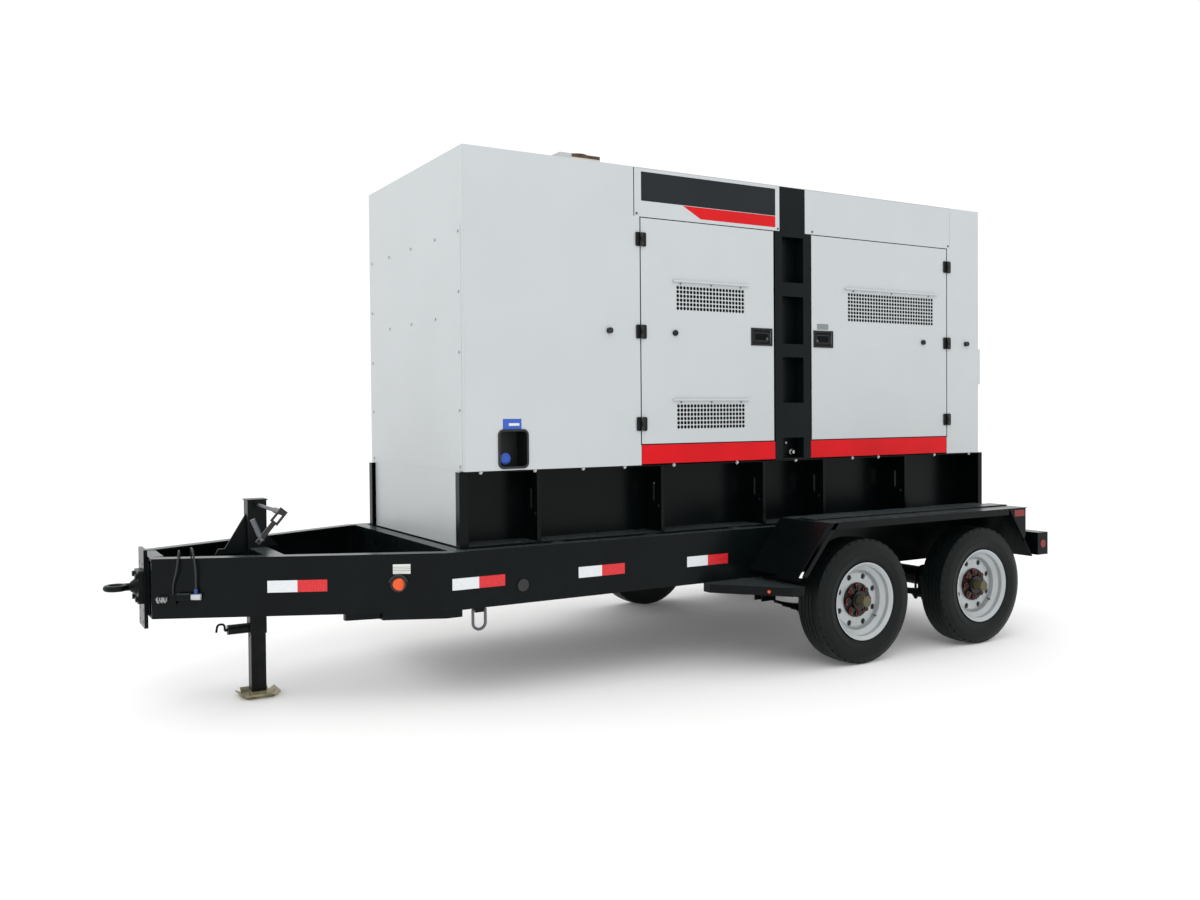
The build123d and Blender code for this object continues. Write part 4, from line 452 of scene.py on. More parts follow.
WHITE_COAT = Finish(linear(190, 195, 197), 0.36, drift=0.006, grain_scale=420.0, grain=0.10, gloss_drift=0.05,
                    dust=0.08, dust_top=1.9, dust_colour=linear(170, 164, 158))
# Black paint; its top_film is a painted sheen on upward faces.
BLACK_COAT = Finish(linear(5, 11, 12), 0.26, drift=0.10, grain_scale=380.0, grain=0.14, dust=0.04,
                    dust_top=1.0, dust_colour=linear(60, 63, 62), top_film=0.75)
COLUMN_COAT = Finish(linear(10, 17, 18), 0.3, drift=0.10, grain_scale=380.0, grain=0.14)
# Black steel; its top_film is a painted sheen on upward faces.
BLACK_STEEL = Finish(linear(7, 12, 13), 0.33, drift=0.14, grain_scale=240.0, grain=0.35, dust=0.05,
                     top_film=0.5)
RED_COAT = Finish(linear(208, 12, 24), 0.34, drift=0.04, grain_scale=420.0, grain=0.10)
WHEEL_COAT = Finish(linear(176, 181, 183), 0.32, metallic=0.3, drift=0.03, grain_scale=300.0, grain=0.14, dust=0.16,
                    dust_top=0.8, dust_colour=linear(130, 124, 114))
HUB_BLACK = Finish(linear(7, 7, 8), 0.42, drift=0.2, grain_scale=160.0, grain=0.6, dust=0.08)
CREAM_COAT = Finish(linear(206, 200, 184), 0.42, drift=0.05)
SCORCHED = Finish(linear(86, 66, 52), 0.5, metallic=0.3, drift=0.25, drift_scale=14.0)
BLACK_PLASTIC = Finish(linear(9, 13, 14), 0.5, drift=0.08, grain_scale=1500.0, grain=0.30)
# Paler grey plastic of the latch rims.
PALE_RIM_PLASTIC = Finish(linear(44, 50, 51), 0.45, drift=0.12, grain_scale=1500.0, grain=0.30)
CASTING = Finish(linear(96, 100, 104), 0.5, drift=0.12, grain_scale=180.0, grain=1.2)
ALTERNATOR_COAT = Finish(linear(60, 66, 74), 0.42, drift=0.1, grain_scale=220.0, grain=0.7)
CABINET_COAT = Finish(linear(196, 198, 198), 0.4, drift=0.02, grain_scale=420.0, grain=0.12)
OLIVE_CAP = Finish(linear(84, 79, 58), 0.38, metallic=0.3, drift=0.15, grain_scale=300.0, grain=0.3)
POINTER_RED = Finish(linear(176, 62, 42), 0.4, drift=0.08)
FOOT_ZINC = Finish(linear(150, 144, 116), 0.42, metallic=0.55, drift=0.22, drift_scale=18.0, grain=0.5)
# Near-black: painted shade in the latch recesses and on the sheet behind the vent holes; also the dark control
# screen's own colour.
SHADE_AND_SCREEN_BLACK = Finish(linear(5, 6, 6), 0.95, drift=0.2, grain=0.4)
BLUE_CAP = Finish(linear(36, 78, 176), 0.38, drift=0.06)
BLUE_LABEL = Finish(linear(44, 84, 180), 0.3, drift=0.03)
GREY_LABEL = Finish(linear(120, 126, 128), 0.35, drift=0.05)
PALE_LABEL = Finish(linear(214, 217, 212), 0.35, drift=0.03)
BANNER_BLACK = Finish(linear(34, 38, 42), 0.3, drift=0.03, grain=0.05)
BANNER_RED = Finish(linear(204, 22, 28), 0.3, drift=0.03, grain=0.05)
PLUG_BLUE = Finish(linear(40, 66, 120), 0.4, drift=0.05)
PLUG_GREY = Finish(linear(190, 194, 196), 0.4, drift=0.05)
ZINC = Brushed(linear(196, 198, 198), 0.32)
EXHAUST = Brushed(linear(168, 164, 156), 0.42)
STEEL_ROD = Brushed(linear(104, 108, 112), 0.38)
TYRE_RUBBER = Rubber()
CABLE_RUBBER = Rubber(linear(26, 27, 28), 0.15)
TAPE_WHITE = Reflector(linear(214, 217, 220))
TAPE_RED = Reflector(linear(202, 20, 30))
AMBER = Lens(linear(214, 78, 16))
RED_LENS = Lens(linear(112, 8, 14))
FOAM = Foam()
CORE = Fins()

TYRE_GLOSS = 0.17
PANEL_GLOSS = 0.35
STEEL_GLOSS = 0.13

Mask = Callable[[Board], Signal]
Zone = tuple[Mask, object]


@dataclass(frozen=True)
class Dressing:
    """A base finish and the finishes of the zones that differ from it."""

    base: object
    zones: tuple[Zone, ...] = ()
    depth: float = 0.0006
    specular: float = 0.5

    def material(self, name: str) -> bpy.types.Material:
        """Make the material of these zones.

        Args:
            name: the material's name.

        Returns:
            The finished material.
        """
        board = Board(name)
        layer = self.base.lay(board)
        for mask, finish in self.zones:
            layer = board.over(layer, mask(board), finish.lay(board))
        return board.close(layer, self.depth, self.specular)


# ---- mesh work ------------------------------------------------------------------------------------


class Bench:
    """Modelling steps that every sub-assembly uses."""

    @staticmethod
    def clear() -> None:
        """Leave edit mode and deselect everything."""
        if bpy.context.object and bpy.context.object.mode != "OBJECT":
            bpy.ops.object.mode_set(mode="OBJECT")
        bpy.ops.object.select_all(action="DESELECT")

    @staticmethod
    def hold(piece: bpy.types.Object) -> None:
        """Make a piece the only one selected, and active."""
        Bench.clear()
        piece.select_set(True)
        bpy.context.view_layer.objects.active = piece

    @staticmethod
    def edit(piece: bpy.types.Object, element: str = "FACE") -> None:
        """Enter edit mode on a piece with nothing selected."""
        Bench.hold(piece)
        bpy.ops.object.mode_set(mode="EDIT")
        bpy.ops.mesh.select_mode(type=element)
        bpy.ops.mesh.select_all(action="DESELECT")

    @staticmethod
    def pick_faces(piece: bpy.types.Object, test: Callable[[Vector, Vector], bool]) -> int:
        """Select the faces that pass a test, in edit mode.

        Args:
            piece: the piece in edit mode.
            test: takes a face's centre and normal.

        Returns:
            How many faces are selected.
        """
        bpy.ops.object.mode_set(mode="OBJECT")
        mesh = piece.data
        for vertex in mesh.vertices:
            vertex.select = False
        for edge in mesh.edges:
            edge.select = False
        count = 0
        for face in mesh.polygons:
            face.select = bool(test(face.center, face.normal))
            count += face.select
        bpy.ops.object.mode_set(mode="EDIT")
        return count

    @staticmethod
    def round_edges(piece: bpy.types.Object, test: Callable[[Vector, Vector], bool], width: float,
                    segments: int) -> None:
        """Bevel the edges that pass a test.

        Args:
            piece: the piece to round.
            test: takes the places of an edge's two ends.
            width: the bevel's width.
            segments: how many faces it has across.
        """
        Bench.edit(piece, "EDGE")
        bpy.ops.object.mode_set(mode="OBJECT")
        for edge in piece.data.edges:
            first, second = (piece.data.vertices[index].co for index in edge.vertices)
            edge.select = bool(test(first, second))
        bpy.ops.object.mode_set(mode="EDIT")
        bpy.ops.mesh.bevel(offset=width, segments=segments)
        Bench.clear()

    @staticmethod
    def dish(piece: bpy.types.Object, way: Point, border: float, lift: float) -> None:
        """Inset the faces that point one way and push them out, or in where lift is negative."""
        Bench.edit(piece)
        Bench.pick_faces(piece, lambda middle, normal: normal.dot(Vector(way)) > 0.9)
        bpy.ops.mesh.inset(thickness=border)
        bpy.ops.mesh.extrude_region_shrink_fatten(TRANSFORM_OT_shrink_fatten={"value": lift})
        Bench.clear()

    @staticmethod
    def block(name: str, low: Point, high: Point, bevel: float = 0.0, segments: int = 2) -> bpy.types.Object:
        """Block between two corners with its edges rounded over."""
        Bench.clear()
        middle = [(a + b) / 2 for a, b in zip(low, high)]
        size = [abs(b - a) for a, b in zip(low, high)]
        bpy.ops.mesh.primitive_cube_add(size=1.0, location=middle, scale=size)
        piece = bpy.context.object
        piece.name = name
        bpy.ops.object.transform_apply(location=True, rotation=True, scale=True)
        if bevel > 0:
            Bench.edit(piece, "EDGE")
            bpy.ops.mesh.select_all(action="SELECT")
            bpy.ops.mesh.bevel(offset=bevel, segments=segments, profile=0.5)
        Bench.clear()
        return piece

    @staticmethod
    def drum(name: str, centre: Point, axis: Point, radius: float, length: float, sides: int = 32,
             bevel: float = 0.0) -> bpy.types.Object:
        """Round or many-sided drum about an axis with its rims bevelled.

        Args:
            name: the piece's name.
            centre: its middle.
            axis: the direction of its axis.
            radius: its radius.
            length: its length along the axis.
            sides: how many sides it has.
            bevel: width of the bevel round both ends.

        Returns:
            The piece, with its place in its mesh.
        """
        Bench.clear()
        turn = Vector((0, 0, 1)).rotation_difference(Vector(axis)).to_euler()
        bpy.ops.mesh.primitive_cylinder_add(vertices=sides, radius=radius, depth=length, location=centre,
                                            rotation=turn)
        piece = bpy.context.object
        piece.name = name
        bpy.ops.object.transform_apply(location=True, rotation=True, scale=True)
        if bevel > 0:
            way = Vector(axis).normalized()
            Bench.edit(piece)
            Bench.pick_faces(piece, lambda middle, normal: abs(normal.dot(way)) > 0.9)
            bpy.ops.mesh.bevel(offset=bevel, segments=2, profile=0.5)
        Bench.clear()
        return piece

    @staticmethod
    def ring(name: str, centre: Point, axis: Point, radius: float, section: float,
             sides: int = 40) -> bpy.types.Object:
        """Round ring about an axis."""
        Bench.clear()
        turn = Vector((0, 0, 1)).rotation_difference(Vector(axis)).to_euler()
        bpy.ops.mesh.primitive_torus_add(major_radius=radius, minor_radius=section, major_segments=sides,
                                         minor_segments=12, location=centre, rotation=turn)
        piece = bpy.context.object
        piece.name = name
        bpy.ops.object.transform_apply(location=True, rotation=True, scale=True)
        return piece

    @staticmethod
    def copy(piece: bpy.types.Object, name: str, move: Matrix) -> bpy.types.Object:
        """Copy a piece with its own mesh and move the mesh.

        Args:
            piece: the piece modelled once.
            name: the copy's name.
            move: how the copy's mesh is moved.

        Returns:
            The copy.
        """
        twin = piece.copy()
        twin.data = piece.data.copy()
        twin.name = name
        bpy.context.scene.collection.objects.link(twin)
        twin.data.transform(move)
        if move.determinant() < 0:
            twin.data.flip_normals()
        return twin

    @staticmethod
    def join(name: str, pieces: Sequence[bpy.types.Object]) -> bpy.types.Object:
        """Join pieces into one object."""
        Bench.clear()
        for piece in pieces:
            piece.select_set(True)
        bpy.context.view_layer.objects.active = pieces[0]
        if len(pieces) > 1:
            bpy.ops.object.join()
        pieces[0].name = name
        return pieces[0]

    @staticmethod
    def smooth(piece: bpy.types.Object, angle: float = 35.0) -> None:
        """Shade a piece smooth up to an angle between faces."""
        Bench.hold(piece)
        bpy.ops.object.shade_smooth_by_angle(angle=math.radians(angle))

    @staticmethod
    def modify(piece: bpy.types.Object, kind: str, **settings: object) -> None:
        """Add a modifier and apply it."""
        Bench.hold(piece)
        modifier = piece.modifiers.new(kind.title(), kind)
        for key, value in settings.items():
            setattr(modifier, key, value)
        bpy.ops.object.modifier_apply(modifier=modifier.name)

    @staticmethod
    def deliver(piece: bpy.types.Object, body: str, slot: str, material: bpy.types.Material,
                replaced: Sequence[str] = (), angle: float = 35.0) -> bpy.types.Object:
        """Give a finished piece its material and body, and report it."""
        Bench.smooth(piece, angle)
        piece.data.materials.clear()
        piece.data.materials.append(material)
        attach(piece, body)
        if replaced:
            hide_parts(*replaced)
        LOG.info("%s rides on %s, %d faces", piece.name, body, len(piece.data.polygons))
        return piece


# ---- studio ---------------------------------------------------------------------------------------


@dataclass
class Studio:
    """Floor, soft lights and camera."""

    floor_size: float = 120.0
    floor_glow: float = 0.06
    eye: Point = (-2.2582, -5.9064, 1.5477)
    yaw: float = 0.53192
    pitch: float = -0.02007
    roll: float = -0.00824
    focal: float = 1048.35
    centre: Point = (589.7, 433.44)
    frame_width: float = 1200.0
    frame_height: float = 900.0
    surroundings: float = 1.04
    panels: tuple = (("key", (-5.0, -7.0, 8.5), 160.0), ("fill", (-11.0, 3.0, 5.0), 60.0),
                     ("rim", (8.0, -3.0, 9.0), 60.0))
    panel_size: float = 6.0

    def build(self) -> None:
        """Set up the whole studio."""
        self.lay_floor()
        self.light()
        self.set_camera()

    def lay_floor(self) -> None:
        """Pale floor under the tyres."""
        Bench.clear()
        bpy.ops.mesh.primitive_plane_add(size=self.floor_size, location=(0, 0, 0))
        floor = bpy.context.object
        floor.name = "studio_floor"
        pale = Finish(linear(255, 255, 254), 0.9, drift=0.004, drift_scale=0.4, grain_scale=80.0, grain=0.02)
        cover = Dressing(pale, specular=0.1).material("studio_floor")
        shader = next(node for node in cover.node_tree.nodes if node.type == "BSDF_PRINCIPLED")
        shader.inputs["Emission Color"].default_value = (1.0, 1.0, 1.0, 1.0)
        shader.inputs["Emission Strength"].default_value = self.floor_glow
        floor.data.materials.append(cover)

    def light(self) -> None:
        """Bright even surroundings and large soft lights."""
        world = bpy.data.worlds.new("studio")
        bpy.context.scene.world = world
        world.use_nodes = True
        background = world.node_tree.nodes["Background"]
        background.inputs["Color"].default_value = (1.0, 1.0, 1.0, 1.0)
        background.inputs["Strength"].default_value = self.surroundings
        bpy.context.scene.view_settings.view_transform = "Standard"
        for name, place, power in self.panels:
            self.panel(name, place, self.panel_size, power)

    @staticmethod
    def panel(name: str, place: Point, size: float, power: float) -> None:
        """Large square light aimed at the generator."""
        data = bpy.data.lights.new(name, "AREA")
        data.shape = "SQUARE"
        data.size = size
        data.energy = power
        lamp = bpy.data.objects.new(name, data)
        bpy.context.scene.collection.objects.link(lamp)
        lamp.location = place
        aim = Vector((0.0, 0.0, 1.5)) - Vector(place)
        lamp.rotation_euler = aim.to_track_quat("-Z", "Y").to_euler()

    def set_camera(self) -> None:
        """Camera at eye height ahead of the left front corner."""
        ahead = Vector((math.sin(self.yaw) * math.cos(self.pitch), math.cos(self.yaw) * math.cos(self.pitch),
                        math.sin(self.pitch)))
        level = Vector((math.cos(self.yaw), -math.sin(self.yaw), 0.0))
        upward = level.cross(ahead)
        cosine, sine = math.cos(self.roll), math.sin(self.roll)
        right = level * cosine + upward * sine
        upward = upward * cosine - level * sine
        data = bpy.data.cameras.new("camera")
        data.sensor_width = 36.0
        data.lens = self.focal / self.frame_width * 36.0
        data.shift_x = (self.frame_width / 2 - self.centre[0]) / self.frame_width
        data.shift_y = (self.centre[1] - self.frame_height / 2) / self.frame_width
        data.clip_end = 400.0
        camera = bpy.data.objects.new("camera", data)
        bpy.context.scene.collection.objects.link(camera)
        turn = Matrix((right, upward, -ahead)).transposed()
        place = Vector(self.eye) + Vector((FRONT, 0.0, 0.0))
        camera.matrix_world = Matrix.Translation(place) @ turn.to_4x4()
        bpy.context.scene.camera = camera


# ---- dressing of the CAD nodes --------------------------------------------------------------------


@dataclass
class Dresser:
    """Puts the right finish on every CAD node."""

    face: float = FACE
    door_low: float = 1.360
    door_high: float = 2.685
    paddle_rim: tuple = (0.012, 0.016)
    skin: float = 0.0028
    panel_skin: float = 0.0032
    door_hem: float = 0.004
    hub: tuple = (0.1075, 0.0935)
    drum: tuple = (0.170, 0.1035)
    oil_cap: tuple = (0.0335, 0.0595)
    nut_band: tuple = (0.064, 0.101, 0.0858)
    tape_whites: tuple = ((-0.976, -0.839), (-0.120, 0.032), (0.638, 0.790), (1.380, 1.532))
    hood_bands: dict = field(default_factory=lambda: {
        End.FRONT: ((2.320, 2.340), (1.611, 1.631)), End.REAR: ((2.347, 2.367),)})
    # Boxes behind the vent holes that are painted near-black as painted shade.
    vent_pits: dict = field(default_factory=lambda: {
        End.FRONT: ((1.380, 1.902, 2.153, 2.305), (1.380, 1.902, 1.441, 1.596)),
        End.REAR: ((2.772, 3.592, 2.136, 2.332),)})

    def build(self) -> None:
        """Dress every node of the frame."""
        plan = {**self.trailer(), **self.housing(), **self.side_pieces(), **self.machine(), **self.small_pieces()}
        for node, dressing in plan.items():
            material = dressing.material(f"{node}_finish")
            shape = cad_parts[node]
            shape.data.materials.clear()
            shape.data.materials.append(material)
            LOG.info("%s dressed", node)

    @staticmethod
    def trailer() -> dict[str, Dressing]:
        """Painted steel of the frame, the running gear and the jack."""
        painted = ("main_beams", "tongue_beams", "crossmembers", "fenders", "side_steps", "rear_bumper", "base_tank")
        plan = dict.fromkeys(painted, Dressing(BLACK_COAT, specular=0.12))
        plan["lift_columns"] = Dressing(COLUMN_COAT, specular=0.12)
        forged = ("spring_hangers", "axle_front", "axle_rear", "equalizers", "tow_eye", "jack_housing", "jack_ram")
        plan |= dict.fromkeys(forged, Dressing(BLACK_STEEL, specular=STEEL_GLOSS))
        pin_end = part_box("jack_pin")[1].x - 0.05
        plan["drop_leg"] = Dressing(BLACK_STEEL, ((lambda board: board.z < 0.031, FOOT_ZINC),), specular=STEEL_GLOSS)
        plan["jack_pin"] = Dressing(BLACK_STEEL, ((lambda board: board.x > pin_end, ZINC),), specular=STEEL_GLOSS)
        plan["jack_crank"] = Dressing(STEEL_ROD, ((lambda board: board.y < -0.572, BLACK_STEEL),))
        plan["crank_grip"] = Dressing(STEEL_ROD)
        return plan

    def housing(self) -> dict[str, Dressing]:
        """White sheet metal with foam inside, the red sill and the roof's scorched outlet."""
        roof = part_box("roof_panel")[1].z

        def collar(board: Board) -> Signal:
            return (board.x > FRONT + 0.815) * (board.z > roof - 0.075) * (board.x < FRONT + 1.02)

        def outlet(board: Board) -> Signal:
            return collar(board) * (board.z > roof - 0.020)

        def rear_lining(board: Board) -> Signal:
            return (board.x < FRONT + 4.0568) * board.z.between(1.43, 2.55)
        inside = (lambda board: board.y.size() < self.face - self.panel_skin, FOAM)
        return {
            "header_panels": Dressing(WHITE_COAT, specular=PANEL_GLOSS),
            "roof_panel": Dressing(WHITE_COAT, ((collar, CREAM_COAT), (outlet, SCORCHED)), specular=PANEL_GLOSS),
            "side_panels": Dressing(WHITE_COAT, (inside,), specular=PANEL_GLOSS),
            "front_panel": Dressing(WHITE_COAT, ((lambda board: board.x > FRONT + 0.0029, FOAM),),
                                    specular=PANEL_GLOSS),
            "rear_wall": Dressing(WHITE_COAT, ((lambda board: board.x < FRONT + 4.0571, FOAM),),
                                  specular=PANEL_GLOSS),
            "rear_door": Dressing(WHITE_COAT, (
                (rear_lining, FOAM), (lambda board: board.x > FRONT + 4.0602, BLACK_PLASTIC)),
                specular=PANEL_GLOSS),
            "sill_panels": Dressing(RED_COAT, (inside,), specular=0.14),
            "panel_hardware": self.hardware(),
        }

    def side_pieces(self) -> dict[str, Dressing]:
        """Doors, latches, wheels and rings of both sides."""
        plan: dict[str, Dressing] = {}
        for side in Side:
            for end in End:
                plan[f"door_{side.word}_{end.value}"] = self.door(end)
                plan[f"latch_{side.word}_{end.value}"] = self.paddle(side, end)
                plan[f"rim_{side.word}_{end.value}"] = self.rim(side, end)
                plan[f"tyre_{side.word}_{end.value}"] = Dressing(TYRE_RUBBER, specular=TYRE_GLOSS)
            plan[f"d_ring_{side.word}"] = Dressing(STEEL_ROD, specular=0.5)
        return plan

    @staticmethod
    def machine() -> dict[str, Dressing]:
        """Engine, alternator, radiator and the rest behind the doors."""
        low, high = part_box("radiator")
        flap_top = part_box("exhaust_cap")[1].z - 0.0105

        def manifold(board: Board) -> Signal:
            return (board.y > 0.3) * (board.z > 1.9)

        def core(board: Board) -> Signal:
            return ((board.x < low.x + 0.09) * board.z.between(low.z + 0.09, high.z - 0.09)
                    * (board.y.size() < high.y - 0.021))

        def screen(board: Board) -> Signal:
            return ((board.x > FRONT + 3.955) * board.y.size().maths("LESS_THAN", 0.145)
                    * board.z.between(2.15, 2.37))

        def sockets(board: Board) -> Signal:
            return (board.x > FRONT + 3.989) * board.z.between(1.59, 1.85)
        return {
            "engine": Dressing(CASTING, ((manifold, EXHAUST),), depth=0.0012),
            "alternator": Dressing(ALTERNATOR_COAT, depth=0.001),
            "radiator": Dressing(BLACK_STEEL, ((core, CORE),), depth=0.002),
            "muffler": Dressing(EXHAUST),
            "exhaust_cap": Dressing(SCORCHED, ((lambda board: board.z > flap_top, BLACK_STEEL),), specular=0.3),
            "air_cleaner": Dressing(BLACK_PLASTIC),
            "fan": Dressing(BLACK_PLASTIC),
            "battery": Dressing(BLACK_PLASTIC, ((lambda board: board.z > 1.4852, ZINC),)),
            "control_cabinet": Dressing(CABINET_COAT, ((screen, SHADE_AND_SCREEN_BLACK), (sockets, BLACK_PLASTIC))),
        }

    def small_pieces(self) -> dict[str, Dressing]:
        """Cables, trailer plug, tape and lamps."""
        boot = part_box("trailer_plug")[1].z - 0.026
        return {
            "tow_cable": Dressing(CABLE_RUBBER),
            "switch_cable": Dressing(CABLE_RUBBER),
            "breakaway_wire": Dressing(ZINC),
            "trailer_plug": Dressing(PLUG_GREY, ((lambda board: board.z > boot, PLUG_BLUE),)),
            "reflective_tape": self.tape(),
            "lamp_lenses": Dressing(AMBER, ((lambda board: board.x > FRONT + 3.0, RED_LENS),), specular=0.3),
        }

    def paddle(self, side: Side, end: End) -> Dressing:
        """Moulded latch with a paler grey rim round its recess; the recess is painted near-black as painted shade.

        Args:
            side: which side the latch is on.
            end: which door along the side.

        Returns:
            The latch's dressing.
        """
        low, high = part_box(f"latch_{side.word}_{end.value}")

        def within(board: Board, inset: float) -> Signal:
            return board.x.between(low.x + inset, high.x - inset) * board.z.between(low.z + inset, high.z - inset)

        def rim(board: Board) -> Signal:
            return within(board, self.paddle_rim[0]) * (1 - within(board, self.paddle_rim[1]))
        # Paler grey on the rim; near-black painted shade inside the recess.
        return Dressing(BLACK_PLASTIC, (
            (rim, PALE_RIM_PLASTIC), (lambda board: within(board, self.paddle_rim[1]), SHADE_AND_SCREEN_BLACK)),
            depth=0.0003, specular=0.2)

    def door(self, end: End) -> Dressing:
        """Door skin with foam inside, black fittings outside, and painted shade on the sheet behind the vent holes.

        Args:
            end: which door along the side.

        Returns:
            The door's dressing.
        """
        def lining(board: Board) -> Signal:
            return (board.y.size() < self.face - self.skin) * board.z.between(
                self.door_low + self.door_hem, self.door_high - self.door_hem)

        # Near-black on the sheet behind each perforated vent: painted shade seen through the holes.
        def pits(board: Board) -> Signal:
            mask: Level = 0.0
            for x0, x1, z0, z1 in self.vent_pits[end]:
                mask = mask + board.x.between(FRONT + x0, FRONT + x1) * board.z.between(z0, z1)
            return mask * board.y.size().between(self.face - 0.0034, self.face - 0.0026)

        def fittings(board: Board) -> Signal:
            mask = board.y.size() > self.face + 0.0003
            for low, high in self.hood_bands[end]:
                mask = mask * (1 - board.z.between(low, high))
            return mask
        return Dressing(WHITE_COAT, ((lining, FOAM), (pits, SHADE_AND_SCREEN_BLACK), (fittings, BLACK_PLASTIC)), specular=0.3)

    def rim(self, side: Side, end: End) -> Dressing:
        """Wheel paint with a black hub, black nuts and an olive oil cap."""
        low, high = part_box(f"rim_{side.word}_{end.value}")
        centre = (low + high) / 2
        outer = max(abs(low.y), abs(high.y))

        def radius(board: Board) -> Signal:
            across = (board.x - centre.x).maths("POWER", 2.0) + (board.z - centre.z).maths("POWER", 2.0)
            return across.maths("SQRT")

        def hub(board: Board) -> Signal:
            return (radius(board) < self.hub[0]) * (board.y.size() > outer - self.hub[1])

        def drum(board: Board) -> Signal:
            return (radius(board) < self.drum[0]) * (board.y.size() < outer - self.drum[1])

        def cap(board: Board) -> Signal:
            return (radius(board) < self.oil_cap[0]) * (board.y.size() > outer - self.oil_cap[1])

        def nuts(board: Board) -> Signal:
            return radius(board).between(*self.nut_band[:2]) * (board.y.size() > outer - self.nut_band[2])
        return Dressing(WHEEL_COAT, ((hub, HUB_BLACK), (drum, HUB_BLACK), (nuts, HUB_BLACK), (cap, OLIVE_CAP)),
                        specular=0.4)

    @staticmethod
    def hardware() -> Dressing:
        """Black hinges and knobs, zinc bolts on the front cover."""
        return Dressing(BLACK_PLASTIC, ((lambda board: board.x < FRONT - 0.0015, ZINC),
                                        (lambda board: board.z > 3.0, WHITE_COAT)))

    def tape(self) -> Dressing:
        """Tape that is white on the first half of each strip and red on the second."""
        def white(board: Board) -> Signal:
            mask: Level = 0.0
            for start, stop in self.tape_whites:
                mask = mask + board.x.between(FRONT + start, FRONT + stop)
            return mask
        return Dressing(TAPE_RED, ((white, TAPE_WHITE),), depth=0.0002)


# ---- enclosure details ----------------------------------------------------------------------------


@dataclass
class Vent:
    """Perforated sheet behind a door's vent opening."""

    low_x: float
    high_x: float
    low_z: float
    high_z: float
    columns: int
    rows: int
    bar: float = 0.0023
    corner_share: float = 0.28
    set_back: float = 0.0019
    thickness: float = 0.0012

    def build(self, name: str, side: Side) -> bpy.types.Object:
        """Punch a grid of eight-sided holes in a sheet.

        Args:
            name: the piece's name.
            side: which side of the enclosure it is on.

        Returns:
            The perforated sheet.
        """
        Bench.clear()
        width, height = self.high_x - self.low_x, self.high_z - self.low_z
        middle = (FRONT + (self.low_x + self.high_x) / 2, side.value * (FACE - self.set_back),
                  (self.low_z + self.high_z) / 2)
        bpy.ops.mesh.primitive_grid_add(x_subdivisions=self.columns, y_subdivisions=self.rows, size=1.0,
                                        location=middle, rotation=(math.pi / 2, 0, 0))
        piece = bpy.context.object
        piece.name = name
        piece.scale = (width, height, 1.0)
        bpy.ops.object.transform_apply(location=True, rotation=True, scale=True)
        Bench.edit(piece)
        bpy.ops.mesh.select_all(action="SELECT")
        bpy.ops.mesh.inset(thickness=self.bar, use_individual=True)
        bpy.ops.mesh.bevel(offset=(width / self.columns - 2 * self.bar) * self.corner_share, affect="VERTICES")
        Bench.pick_faces(piece, lambda centre, normal: False)
        bpy.ops.object.mode_set(mode="OBJECT")
        for face in piece.data.polygons:
            face.select = len(face.vertices) == 8
        bpy.ops.object.mode_set(mode="EDIT")
        bpy.ops.mesh.delete(type="ONLY_FACE")
        Bench.clear()
        Bench.modify(piece, "SOLIDIFY", thickness=self.thickness, offset=0.0)
        return piece


